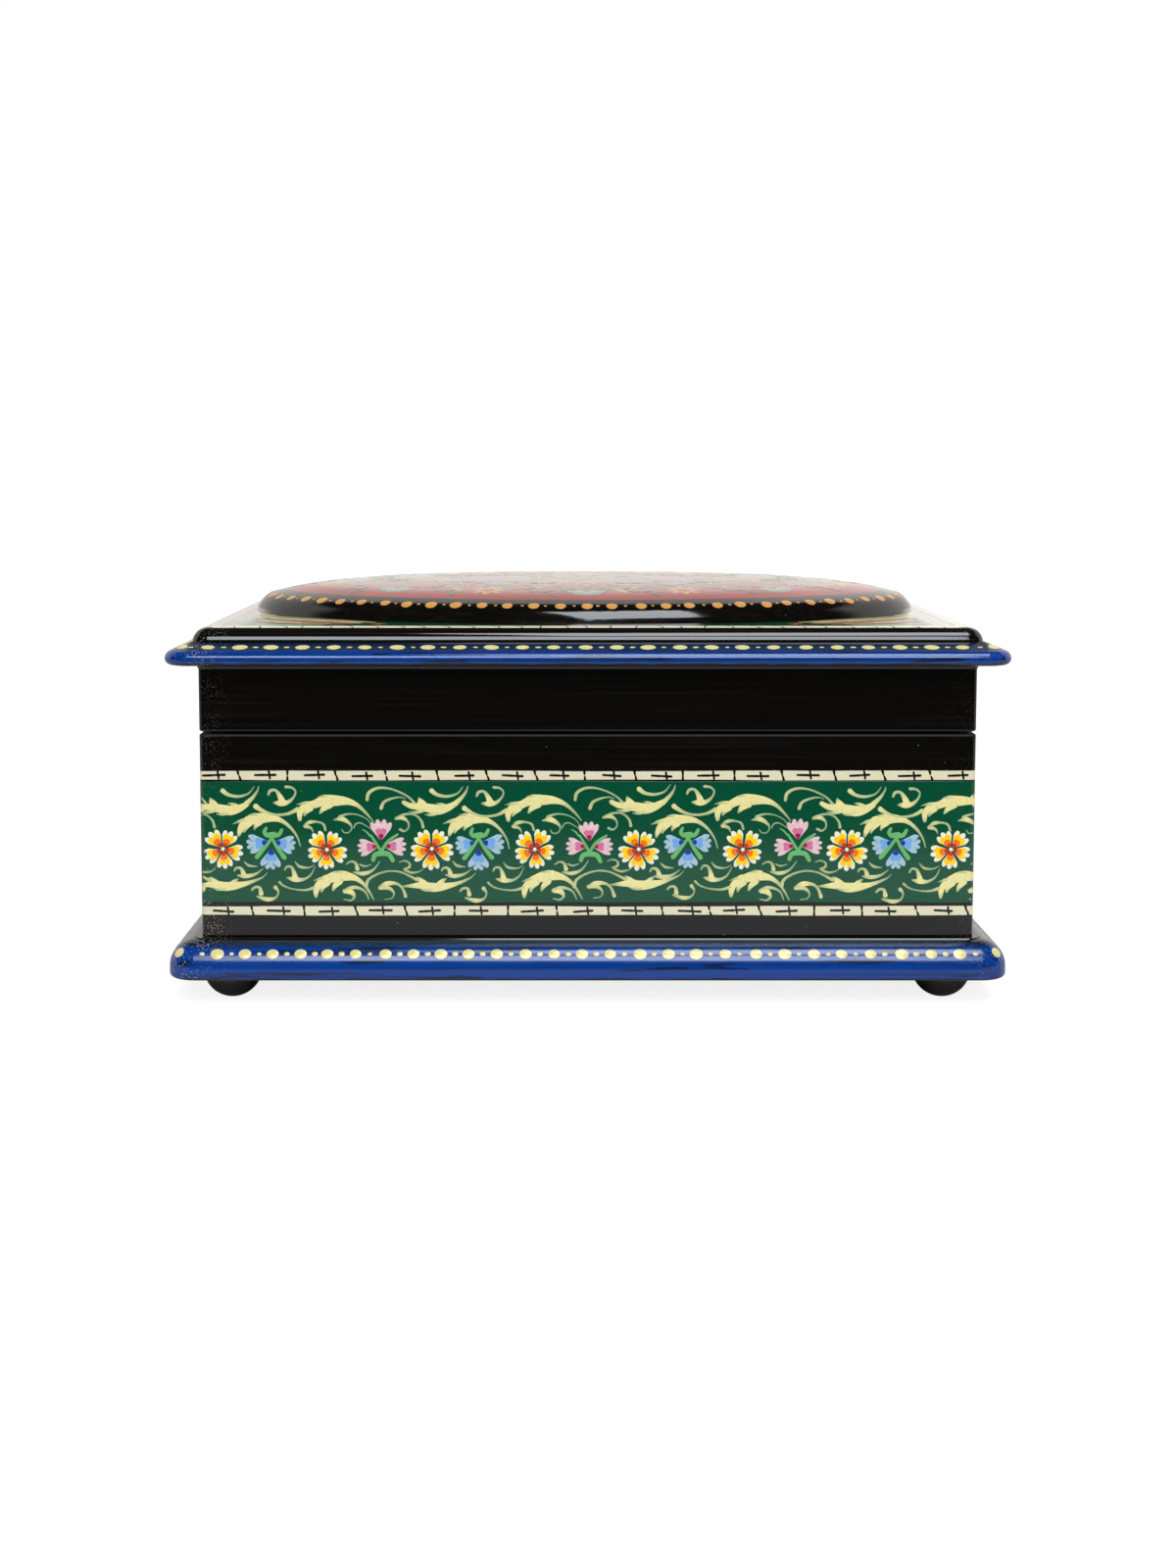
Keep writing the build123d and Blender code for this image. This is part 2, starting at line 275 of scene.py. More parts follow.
class Effects:
    """Shader groups that several finishes share, each built once."""

    def __init__(self, carcass: Carcass) -> None:
        """Keeps the sizes that wear and polish follow, with no groups built yet."""
        self.carcass = carcass
        self._built: dict[str, NodeTree] = {}

    def _shared(
        self, name: str, output: str, settings: dict[str, float | tuple[float, float, float]], fill: Filling
    ) -> NodeTree:
        """Builds a group that reads a place on the box, or returns it where it is built already.

        Args:
            name: The group's name.
            output: The name of its one output, a number.
            settings: Its other inputs, with their usual values.
            fill: Adds its nodes, from its graph and its inputs, and gives its result.

        Returns:
            The group.
        """
        if name in self._built:
            return self._built[name]
        tree = bpy.data.node_groups.new(name, "ShaderNodeTree")
        for socket, value in {"Vector": (0.0, 0.0, 0.0), **settings}.items():
            kind = "NodeSocketVector" if isinstance(value, tuple) else "NodeSocketFloat"
            tree.interface.new_socket(socket, in_out="INPUT", socket_type=kind).default_value = value
        tree.interface.new_socket(output, in_out="OUTPUT", socket_type="NodeSocketFloat")
        graph = Graph(tree)
        start, end = tree.nodes.new("NodeGroupInput"), tree.nodes.new("NodeGroupOutput")
        graph.link(fill(graph, start.outputs), end.inputs[output])
        self._built[name] = tree
        return tree

    def brush_streaks(self) -> NodeTree:
        """Long soft streaks left by a flat brush, drawn out along each side of the box.

        Returns:
            The group, with Vector, Normal, Fineness and Length inputs and a Streaks output.
        """

        def fill(graph: Graph, given: Mapping[str, NodeSocket]) -> NodeSocket:
            """Stretches noise along the length on the long sides and along the depth on the others."""
            places = graph.split(given["Vector"])
            facing = graph.split(given["Normal"])
            on_end = graph.math("GREATER_THAN", graph.math("ABSOLUTE", facing[0]), 0.6)
            ratio = graph.math("DIVIDE", given["Length"], given["Fineness"])
            streaks = []
            for along, across in ((0, 1), (1, 0)):
                stretched = graph.add("CombineXYZ")
                values = (graph.times(places[along], ratio), places[across], places[2])
                for value, socket in zip(values, stretched.inputs, strict=True):
                    graph.link(value, socket)
                streaks.append(graph.noise(stretched.outputs[0], given["Fineness"], 3.0))
            return graph.choose(on_end, *streaks)

        settings = {"Normal": (0.0, 0.0, 1.0), "Fineness": 900.0, "Length": 12.0}
        return self._shared("Brush streaks", "Streaks", settings, fill)

    def specks(self) -> NodeTree:
        """Small scattered specks of dust or chipped lacquer.

        Returns:
            The group, with Vector, Spacing, Size and Share inputs and a Mask output.
        """

        def fill(graph: Graph, given: Mapping[str, NodeSocket]) -> NodeSocket:
            """Keeps a round spot in a share of the cells."""
            cells = graph.add("TexVoronoi")
            graph.link(given["Vector"], cells.inputs["Vector"])
            graph.link(graph.math("DIVIDE", 1.0, given["Spacing"]), cells.inputs["Scale"])
            near = graph.math("LESS_THAN", cells.outputs["Distance"], given["Size"])
            chosen = graph.math("LESS_THAN", graph.split(cells.outputs["Color"])[0], given["Share"])
            return graph.times(near, chosen)

        return self._shared("Specks", "Mask", {"Spacing": 0.002, "Size": 0.12, "Share": 0.4}, fill)

    def handling(self) -> NodeTree:
        """Where hands and shelves wear the lacquer: near the box's upright corners, most on the left.

        Returns:
            The group, with Vector, Half Length, Half Depth and Reach inputs and a Mask output.
        """

        def fill(graph: Graph, given: Mapping[str, NodeSocket]) -> NodeSocket:
            """Wears the corners in patches, less on the right and at mid height."""
            x, y, z = graph.split(given["Vector"])
            closeness = []
            for value, limit in ((x, "Half Length"), (y, "Half Depth")):
                gap = graph.minus(given[limit], graph.math("ABSOLUTE", value))
                share = graph.math("DIVIDE", gap, given["Reach"])
                closeness.append(graph.minus(1.0, share, clamp=True))
            patchy = graph.ramp(graph.noise(given["Vector"], 160.0, 4.0), 0.3, 0.65)
            leftward = graph.ramp(x, 0.12, -0.12)
            leaning = graph.plus(graph.times(leftward, 0.7), 0.3)
            off_middle = graph.math("ABSOLUTE", graph.minus(z, self.carcass.untouched))
            off_middle = graph.ramp(off_middle, 0.022, 0.042)
            level = graph.plus(graph.times(off_middle, 0.75), 0.25)
            worn = graph.times(graph.times(*closeness), patchy)
            return graph.times(worn, graph.times(leaning, level), clamp=True)

        settings = {"Half Length": 0.119, "Half Depth": 0.081, "Reach": 0.012}
        return self._shared("Corner handling", "Mask", settings, fill)

    def top_polish(self) -> NodeTree:
        """Where the lid's top carries a second coat of clear lacquer: its two ends and the dome's middle.

        Returns:
            The group, with a Vector input and a Mask output.
        """
        plate = self.carcass.plate_level
        dome = self.carcass.polished_dome

        def fill(graph: Graph, given: Mapping[str, NodeSocket]) -> NodeSocket:
            """Joins the dome's middle with the ends of the flat."""
            x, _, z = graph.split(given["Vector"])
            on_dome = graph.ramp(graph.oval(given["Vector"], *dome), 0.97, 0.82)
            on_dome = graph.times(on_dome, graph.ramp(z, plate + 1.8 * MM, plate + 2.8 * MM))
            above = graph.ramp(z, plate - 1.2 * MM, plate - 0.4 * MM)
            on_flat = graph.times(above, graph.ramp(z, plate + 1.3 * MM, plate + 0.6 * MM))
            ends = graph.times(on_flat, graph.ramp(graph.math("ABSOLUTE", x), 0.1035, 0.1085))
            return graph.math("MAXIMUM", on_dome, ends)

        return self._shared("Top polish", "Mask", {}, fill)

    def lacquer_relief(self) -> NodeTree:
        """The slow waves and fine orange peel of hand laid lacquer.

        Returns:
            The group, with Vector, Waves and Peel inputs and a Height output in metres.
        """

        def fill(graph: Graph, given: Mapping[str, NodeSocket]) -> NodeSocket:
            """Adds the fine relief to the slow one."""
            waves = graph.times(graph.noise(given["Vector"], 55.0, 1.0), given["Waves"])
            peel = graph.times(graph.noise(given["Vector"], 520.0, 2.0), given["Peel"])
            return graph.plus(waves, peel)

        return self._shared("Lacquer relief", "Height", {"Waves": 0.00006, "Peel": 0.000004}, fill)


# ----------------------------------------
# Finishes


@dataclass(frozen=True)
class Gloss:
    """How a lacquered surface shines and how far from flat it is."""

    roughness: float = 0.13
    waves_mm: float = 0.05
    peel_mm: float = 0.0035
    dust_share: float = 0.12
    index: float = 1.5
    coat_roughness: float = 0.06


@dataclass(frozen=True)
class Paint:
    """One brushed colour under clear lacquer, thinner and paler where the brush ran dry."""

    name: str
    body: Colour
    thin: Colour
    mottling: float = 0.10


@dataclass(frozen=True)
class LacquerZone:
    """A ground colour with its darker brush streaks and its dark worn dashes."""

    body: Colour
    streak: Colour
    streak_share: float = 0.6
    worn: Colour = Tones.BLACK
    worn_share: float = 0.0


@dataclass(frozen=True)
class ZoneEdge:
    """Where one ground colour gives way to the next one up, in metres."""

    height: float
    zone: LacquerZone
    wander: float = 0.0005
    softness: float = 0.00008


@dataclass(frozen=True)
class Velvet:
    """The crushed red pile of the lining."""

    shadow: Colour = tone(72, 4, 12)
    fleck: Colour = tone(168, 34, 46)
    sheen: Colour = tone(226, 150, 150)
    pile_height: float = 0.00012


class Finishes:
    """Makes and keeps every material of the box."""

    def __init__(self, effects: Effects) -> None:
        """Keeps the shared effects."""
        self.effects = effects
        self._made: dict[str, Material] = {}

    def _start(self, name: str) -> tuple[Material, Graph, Node]:
        """Makes an empty node material and returns it with its graph and its shader."""
        material = bpy.data.materials.new(name)
        graph = Graph.cleared(material)
        shader = graph.add("BsdfPrincipled")
        graph.link(shader.outputs[0], graph.add("OutputMaterial").inputs["Surface"])
        self._made[name] = material
        return material, graph, shader

    def _effect(self, graph: Graph, tree: NodeTree, **values: object) -> NodeSocket:
        """Places a shared effect in a material with its own values and returns its result."""
        node = graph.add("Group")
        node.node_tree = tree
        for name, value in values.items():
            graph.link(value, node.inputs[name.replace("_", " ")])
        return node.outputs[0]

    def _shine(
        self,
        graph: Graph,
        shader: Node,
        place: NodeSocket,
        colour: NodeSocket,
        gloss: Gloss,
        rubbed: NodeSocket | None = None,
    ) -> None:
        """Gives a shader its clear lacquer: dust and handling in the colour, waves and peel in the normal."""
        effects = self.effects
        carcass = effects.carcass
        dust = self._effect(
            graph, effects.specks(), Vector=place, Spacing=0.0042, Size=0.035, Share=gloss.dust_share
        )
        worn = self._effect(
            graph,
            effects.handling(),
            Vector=place,
            Half_Length=carcass.half_length,
            Half_Depth=carcass.half_depth,
            Reach=0.011,
        )
        grit = self._effect(graph, effects.specks(), Vector=place, Spacing=0.00062, Size=0.26, Share=0.75)
        scuffs = graph.times(graph.times(worn, 1.3, clamp=True), grit)
        marks = graph.math("MAXIMUM", graph.times(dust, 0.6), scuffs)
        graph.link(graph.mix(marks, colour, Tones.DUST), shader.inputs["Base Color"])
        cloud = graph.times(graph.noise(place, 140.0, 3.0), gloss.roughness * 0.7)
        rough = graph.plus(graph.plus(cloud, gloss.roughness * 0.65), graph.times(marks, 0.35))
        if rubbed is not None:
            rough = graph.plus(rough, graph.times(rubbed, 0.5))
        graph.link(rough, shader.inputs["Roughness"])
        relief = effects.lacquer_relief()
        waves, peel = gloss.waves_mm * MM, gloss.peel_mm * MM
        graph.emboss(self._effect(graph, relief, Vector=place, Waves=waves, Peel=peel), shader)
        graph.link(gloss.index, shader.inputs["IOR"])
        graph.link(self._effect(graph, effects.top_polish(), Vector=place), shader.inputs["Coat Weight"])
        graph.link(gloss.coat_roughness, shader.inputs["Coat Roughness"])

    def _brushed(
        self, graph: Graph, zone: LacquerZone, streaks: NodeSocket, dashes: NodeSocket | None,
    ) -> NodeSocket:
        """Mixes a zone's body with its streaks and its worn dashes and returns the colour."""
        share = graph.times(graph.ramp(streaks, 0.45, 0.72), zone.streak_share)
        brushing = graph.mix(share, zone.body, zone.streak)
        if not zone.worn_share:
            return brushing
        worn = graph.times(graph.ramp(dashes, 0.56, 0.63), zone.worn_share)
        return graph.mix(worn, brushing, zone.worn)

    def paint(self, paint: Paint) -> Material:
        """Makes the material of one brushed paint.

        Args:
            paint: The paint to make.

        Returns:
            The material, made once for each name.
        """
        if paint.name in self._made:
            return self._made[paint.name]
        material, graph, shader = self._start(paint.name)
        place = graph.object_coordinates()
        load = graph.add("Attribute", attribute_name="load", attribute_type="GEOMETRY").outputs["Fac"]
        patchy = graph.times(graph.minus(graph.noise(place, 900.0, 3.0), 0.5), 0.5)
        colour = graph.mix(graph.plus(load, patchy, clamp=True), paint.thin, paint.body)
        mottled = graph.add("HueSaturation")
        graph.link(colour, mottled.inputs["Color"])
        shade = graph.times(graph.noise(place, 420.0, 2.0), paint.mottling * 2)
        graph.link(graph.plus(shade, 1.0 - paint.mottling), mottled.inputs["Value"])
        self._shine(graph, shader, place, mottled.outputs[0], Gloss())
        return material

    def ground(
        self,
        name: str,
        zone: LacquerZone,
        gloss: Gloss,
        edges: Sequence[ZoneEdge] = (),
        rub_level: float | None = None,
    ) -> Material:
        """Makes a lacquered ground that may change colour with height.

        Args:
            name: The material's name.
            zone: The lowest zone.
            gloss: The lacquer's shine.
            edges: Where each zone above it starts.
            rub_level: The height in metres where a closing edge has rubbed the gloss off.

        Returns:
            The material.
        """
        material, graph, shader = self._start(name)
        place = graph.object_coordinates()
        facing = graph.add("TexCoord").outputs["Normal"]
        brush = self.effects.brush_streaks()
        streaks = self._effect(graph, brush, Vector=place, Normal=facing)
        dashes = self._effect(graph, brush, Vector=place, Normal=facing, Fineness=420.0, Length=34.0)
        height = graph.split(place)[2]
        wander = graph.minus(graph.noise(place, 90.0, 4.0), 0.5)
        colour = self._brushed(graph, zone, streaks, dashes)
        for edge in edges:
            shifted = graph.plus(height, graph.times(wander, edge.wander))
            inside = graph.ramp(shifted, edge.height - edge.softness, edge.height + edge.softness)
            colour = graph.mix(inside, colour, self._brushed(graph, edge.zone, streaks, dashes))
        rubbed = None
        if rub_level is not None:
            near = graph.math("ABSOLUTE", graph.minus(height, rub_level))
            rubbed = graph.minus(1.0, graph.ramp(near, 0.0005, 0.0009))
        self._shine(graph, shader, place, colour, gloss, rubbed)
        return material

    def dome_field(self, name: str, half_length: float, half_depth: float) -> Material:
        """Makes the dome's lacquer: black at its edge and deep red inside an oval.

        Args:
            name: The material's name.
            half_length: The red oval's half length in metres.
            half_depth: The red oval's half depth in metres.

        Returns:
            The material.
        """
        material, graph, shader = self._start(name)
        place = graph.object_coordinates()
        facing = graph.add("TexCoord").outputs["Normal"]
        streaks = self._effect(graph, self.effects.brush_streaks(), Vector=place, Normal=facing)
        wander = graph.times(graph.minus(graph.noise(place, 110.0, 2.0), 0.5), 0.01)
        radius = graph.plus(graph.oval(place, half_length, half_depth), wander)
        inside = graph.minus(1.0, graph.ramp(radius, 0.9985, 1.0015))
        cloud = graph.ramp(graph.noise(place, 38.0, 3.0), 0.35, 0.7)
        red = graph.mix(graph.times(cloud, 0.7), Tones.FIELD_RED, Tones.DEEP_RED)
        black = self._brushed(graph, LacquerZone(Tones.BLACK, Tones.SOFT_BLACK, 0.5), streaks, None)
        gloss = Gloss(roughness=0.075, waves_mm=0.03)
        self._shine(graph, shader, place, graph.mix(inside, black, red), gloss)
        return material

    def velvet(self, velvet: Velvet) -> Material:
        """Makes the crushed velvet of the lining.

        Args:
            velvet: Its pile and its tones.

        Returns:
            The material.
        """
        material, graph, shader = self._start("red_velvet")
        place = graph.object_coordinates()
        nap = graph.ramp(graph.noise(place, 60.0, 4.0), 0.4, 0.65)
        pile = graph.noise(place, 2600.0, 2.0)
        shade = graph.mix(graph.times(nap, 0.55), Tones.VELVET, velvet.shadow)
        flecked = graph.mix(graph.times(graph.ramp(pile, 0.5, 0.75), 0.4), shade, velvet.fleck)
        graph.link(flecked, shader.inputs["Base Color"])
        graph.link(0.9, shader.inputs["Roughness"])
        graph.link(0.6, shader.inputs["Sheen Weight"])
        graph.link(0.35, shader.inputs["Sheen Roughness"])
        graph.link(velvet.sheen, shader.inputs["Sheen Tint"])
        graph.emboss(graph.times(pile, velvet.pile_height), shader)
        return material

    def brass(self) -> Material:
        """Makes the lacquered brass of the hinges, tarnished in patches.

        Returns:
            The material.
        """
        material, graph, shader = self._start("tarnished_brass")
        place = graph.object_coordinates()
        patches = graph.ramp(graph.noise(place, 420.0, 4.0), 0.45, 0.7)
        tarnished = graph.mix(graph.times(patches, 0.7), Tones.BRASS, Tones.TARNISH)
        graph.link(tarnished, shader.inputs["Base Color"])
        graph.link(1.0, shader.inputs["Metallic"])
        graph.link(graph.plus(graph.times(patches, 0.25), 0.22), shader.inputs["Roughness"])
        graph.emboss(graph.times(graph.noise(place, 3000.0, 2.0), 0.00001), shader)
        return material


# ----------------------------------------
# Brushwork


class Layer(Enum):
    """How far each coat of paint stands off the ground, in millimetres."""

    PANEL = 0.022
    OUTLINE = 0.045
    BODY = 0.060
    SHADE = 0.075
    CORE = 0.090


@dataclass(frozen=True)
class Placement:
    """Where a motif is laid: its origin, its turn in degrees, its size and its mirroring."""

    u: float = 0.0
    v: float = 0.0
    turn: float = 0.0
    scale: float = 1.0
    mirror: bool = False
    flip: bool = False

    def apply(self, x: float, y: float) -> Point:
        """Moves a point of the motif to the surface."""
        across = -x if self.mirror else x
        along = -y if self.flip else y
        angle = math.radians(self.turn)
        return (
            self.u + self.scale * (across * math.cos(angle) - along * math.sin(angle)),
            self.v + self.scale * (across * math.sin(angle) + along * math.cos(angle)),
        )


class PaintSurface:
    """A part of the box that takes paint."""

    def at(self, u: float, v: float, lift: float) -> Vector:
        """Gives the place in metres of a point across, along and above the surface in millimetres."""
        raise NotImplementedError


@dataclass(frozen=True)
class WallFace(PaintSurface):
    """One upright side of the body, which turns the corners a little way."""

    half: float
    reach: float
    corner: float
    quarter_turns: int

    def at(self, u: float, v: float, lift: float) -> Vector:
        """Gives a point on the side, following the rounded corner past its flat part."""
        flat = self.half - self.corner
        if abs(u) <= flat:
            x, y = u, -self.reach - lift
        else:
            arc = (abs(u) - flat) / self.corner
            x = math.copysign(flat + (self.corner + lift) * math.sin(arc), u)
            y = -(self.reach - self.corner) - (self.corner + lift) * math.cos(arc)
        for _ in range(self.quarter_turns):
            x, y = -y, x
        return Vector((x, y, v)) * MM


class DrapedTop(PaintSurface):
    """The upper side of some solids, met from straight above."""

    def __init__(self, nodes: Iterable[Object]) -> None:
        """Gathers the solids' faces for ray casts."""
        points: list[Vector] = []
        faces: list[list[int]] = []
        for node in nodes:
            first = len(points)
            points.extend(vertex.co.copy() for vertex in node.data.vertices)
            faces.extend([first + corner for corner in face.vertices] for face in node.data.polygons)
        self._tree = BVHTree.FromPolygons(points, faces)

    def at(self, u: float, v: float, lift: float) -> Vector:
        """Gives the point of the surface under (u, v), lifted along its normal."""
        spot, normal = self.frame_at(u, v)
        if spot is None:
            return Vector((u, v, 0.0)) * MM
        return spot + normal * lift * MM

    def frame_at(self, u: float, v: float) -> tuple[Vector, Vector]:
        """Gives the point under (u, v) and the normal there."""
        spot, normal, _, _ = self._tree.ray_cast(Vector((u, v, 400.0)) * MM, Vector((0.0, 0.0, -1.0)))
        return spot, normal

    def nearest(self, place: Vector, lift: float) -> Vector:
        """Gives the nearest surface point to a place, lifted along its normal."""
        spot, normal, _, _ = self._tree.find_nearest(place)
        return spot + normal * lift * MM


class TangentPatch(PaintSurface):
    """A small flat sheet laid on a curved top at one spot, for marks on steep mouldings."""

    def __init__(self, top: DrapedTop, u: float, v: float, along: Vector) -> None:
        """Lays the sheet at (u, v) with its first direction along the moulding."""
        self._top = top
        self._origin, normal = top.frame_at(u, v)
        self._along = (along - normal * along.dot(normal)).normalized()
        self._across = normal.cross(self._along)

    def at(self, u: float, v: float, lift: float) -> Vector:
        """Gives the surface point nearest to the sheet's point."""
        return self._top.nearest(self._origin + (self._along * u + self._across * v) * MM, lift)


def smooth_path(points: Sequence[StrokePoint], step: float) -> list[StrokePoint]:
    """Runs a smooth curve through a stroke's points.

    Args:
        points: Places with the brush width at each.
        step: The longest distance between two points of the result.

    Returns:
        The curve's points with their widths.
    """
    padded = [points[0], *points, points[-1]]
    path: list[StrokePoint] = []
    for before, start, end, after in zip(padded, padded[1:], padded[2:], padded[3:], strict=False):
        count = max(2, math.ceil(math.dist(start[:2], end[:2]) / step))
        for index in range(count):
            t = index / count
            path.append(
                tuple(
                    0.5
                    * (
                        2 * b
                        + (c - a) * t
                        + (2 * a - 5 * b + 4 * c - d) * t * t
                        + (3 * b - a - 3 * c + d) * t**3
                    )
                    for a, b, c, d in zip(before, start, end, after, strict=True)
                )
            )
    path.append(points[-1])
    return [(x, y, max(width, 0.12)) for x, y, width in path]


class PaintedPiece:
    """A piece of painting: brush marks gathered into one thin raised mesh."""

    SUNK = -0.012
    RIM = 0.11
    STEP = 0.5

    def __init__(self, name: str, surface: PaintSurface, finishes: Finishes, body: str, slot: str) -> None:
        """Starts a piece with no marks.

        Args:
            name: The piece's name.
            surface: Where the marks lie.
            finishes: The materials to paint with.
            body: The moving body it belongs to.
            slot: The name of one of the record's material slots; not used.
        """
        self.name = name
        self.surface = surface
        self.finishes = finishes
        self.body = body
        self.slot = slot
        self.limit = math.inf
        self._points: list[Vector] = []
        self._faces: list[tuple[int, ...]] = []
        self._loads: list[float] = []
        self._slots: list[int] = []
        self._materials: list[Material] = []

    def _slot_of(self, paint: Paint) -> int:
        """Returns the mesh's slot for a paint, added when it is first used."""
        material = self.finishes.paint(paint)
        if material not in self._materials:
            self._materials.append(material)
        return self._materials.index(material)

    def _put(self, u: float, v: float, lift: float, load: float) -> int:
        """Adds a point and returns its index."""
        self._points.append(self.surface.at(u, v, lift))
        self._loads.append(load)
        return len(self._points) - 1

    def _face(self, corners: tuple[int, ...], slot: int) -> None:
        """Adds a face."""
        self._faces.append(corners)
        self._slots.append(slot)

    def stroke(
        self,
        points: Sequence[StrokePoint],
        paint: Paint,
        layer: Layer,
        place: Placement = Placement(),
        load: float | None = None,
        dome: float = 0.02,
    ) -> None:
        """Paints one brush stroke of changing width with round ends.

        Args:
            points: The stroke's places and widths.
            paint: Its colour.
            layer: Its coat.
            place: Where the motif lies.
            load: How full of paint the brush is, or None for thin where the stroke is narrow.
            dome: How much higher the stroke's middle stands.
        """
        path = [(*place.apply(x, y), width * place.scale) for x, y, width in smooth_path(points, self.STEP)]
        run: list[StrokePoint] = []
        for point in path:
            if abs(point[0]) <= self.limit:
                run.append(point)
            else:
                self._ribbon(run, paint, layer, load, dome)
                run = []
        self._ribbon(run, paint, layer, load, dome)

    def _ribbon(
        self, run: list[StrokePoint], paint: Paint, layer: Layer, load: float | None, dome: float
    ) -> None:
        """Builds a stroke's mesh from its smooth path."""
        if len(run) < 2:
            return
        slot = self._slot_of(paint)
        rows: list[tuple[float, float, float, float, float]] = []
        for index, (x, y, width) in enumerate(run):
            ahead = run[min(index + 1, len(run) - 1)]
            behind = run[max(index - 1, 0)]
            reach = math.dist(ahead[:2], behind[:2]) or 1.0
            rows.append((x, y, width, (ahead[0] - behind[0]) / reach, (ahead[1] - behind[1]) / reach))
        capped = []
        for end, way in ((rows[0], -1.0), (rows[-1], 1.0)):
            x, y, width, along, up = end
            cap = [
                (x + way * along * width / 2 * share, y + way * up * width / 2 * share)
                + (width * math.sqrt(1 - share * share), along, up)
                for share in (0.5, 0.85, 0.985)
            ]
            capped.append(cap)
        rows = [*reversed(capped[0]), *rows, *capped[1]]
        previous: list[int] = []
        for x, y, width, along, up in rows:
            half = width / 2
            rim = min(self.RIM, half * 0.4)
            full = load if load is not None else min(1.0, max(0.0, (width - 0.45) / 1.1))
            section = (
                (-half - 0.01, self.SUNK),
                (-half, layer.value * 0.8),
                (-half + rim, layer.value),
                (0.0, layer.value + dome),
                (half - rim, layer.value),
                (half, layer.value * 0.8),
                (half + 0.01, self.SUNK),
            )
            current = [self._put(x - up * aside, y + along * aside, lift, full) for aside, lift in section]
            for left, (here, there) in enumerate(pairwise(current)):
                if previous:
                    self._face((previous[left], here, there, previous[left + 1])[::-1], slot)
            previous = current

    def blob(
        self,
        outline: Sequence[Point],
        centre: Point,
        paint: Paint,
        layer: Layer,
        place: Placement = Placement(),
        load: float = 1.0,
        dome: float = 0.02,
    ) -> None:
        """Paints a filled shape seen whole from its centre.

        Args:
            outline: The shape's points, anticlockwise.
            centre: A point inside, from which each outline point is in sight.
            paint: Its colour.
            layer: Its coat.
            place: Where the motif lies.
            load: How full of paint the brush is.
            dome: How much higher the middle stands.
        """
        slot = self._slot_of(paint)
        mirrored = place.mirror != place.flip
        points = list(reversed(outline)) if mirrored else list(outline)
        rings: list[list[int]] = []
        for inset, share, lift in (
            (-0.01, 1.0, self.SUNK),
            (0.0, 1.0, layer.value * 0.8),
            (self.RIM, 1.0, layer.value),
            (0.0, 0.5, layer.value + dome * 0.8),
        ):
            ring = []
            for x, y in points:
                away = math.dist((x, y), centre) or 1.0
                keep = share * max(0.55, 1 - inset / away)
                u, v = place.apply(centre[0] + (x - centre[0]) * keep, centre[1] + (y - centre[1]) * keep)
                ring.append(self._put(u, v, lift, load))
            rings.append(ring)
        middle = self._put(*place.apply(*centre), layer.value + dome, load)
        count = len(points)
        for outer, inner in pairwise(rings):
            for index in range(count):
                after = (index + 1) % count
                self._face((outer[index], outer[after], inner[after], inner[index]), slot)
        for index in range(count):
            self._face((rings[-1][index], rings[-1][(index + 1) % count], middle), slot)

    def sheet(
        self, rows: Sequence[Sequence[Point]], paint: Paint, layer: Layer, closed: bool = False
    ) -> None:
        """Paints a wide flat field from rows of points, each row as long as the next.

        Args:
            rows: The field's rows, from its lower or inner edge.
            paint: Its colour.
            layer: Its coat.
            closed: Whether each row joins its own start.
        """
        slot = self._slot_of(paint)

        def inset(edge: Sequence[Point], beyond: Sequence[Point]) -> list[Point]:
            """Moves an edge row a rim's width towards the next row."""
            line = []
            for here, there in zip(edge, beyond, strict=True):
                share = min(0.3, self.RIM / (math.dist(here, there) or 1.0))
                line.append((here[0] + (there[0] - here[0]) * share, here[1] + (there[1] - here[1]) * share))
            return line

        inner = [inset(rows[0], rows[1]), *rows[1:-1], inset(rows[-1], rows[-2])]
        lines = [rows[0], rows[0], *inner, rows[-1], rows[-1]]
        lifts = [self.SUNK, *[layer.value] * (len(inner) + 2), self.SUNK]
        previous: list[int] = []
        for line, lift in zip(lines, lifts, strict=True):
            current = [self._put(u, v, lift, 1.0) for u, v in line]
            pairs = list(zip(range(len(line)), range(1, len(line)), strict=False))
            if closed:
                pairs.append((len(line) - 1, 0))
            for left, right in pairs:
                if previous:
                    self._face((previous[left], previous[right], current[right], current[left]), slot)
            previous = current

    def line(self, first: StrokePoint, second: StrokePoint, layer: Layer = Layer.OUTLINE) -> None:
        """Draws a black line between two points, each with the brush width there."""
        self.stroke((first, second), Paints.BLACK, layer, load=1.0, dome=0.01)

    def build(self) -> None:
        """Makes the mesh object and sets it on its body."""
        mesh = bpy.data.meshes.new(self.name)
        mesh.from_pydata(self._points, [], self._faces)
        for material in self._materials:
            mesh.materials.append(material)
        mesh.polygons.foreach_set("material_index", self._slots)
        mesh.polygons.foreach_set("use_smooth", [True] * len(self._faces))
        mesh.attributes.new("load", "FLOAT", "POINT").data.foreach_set("value", self._loads)
        stand(mesh, self.body)


# ----------------------------------------
# Paints


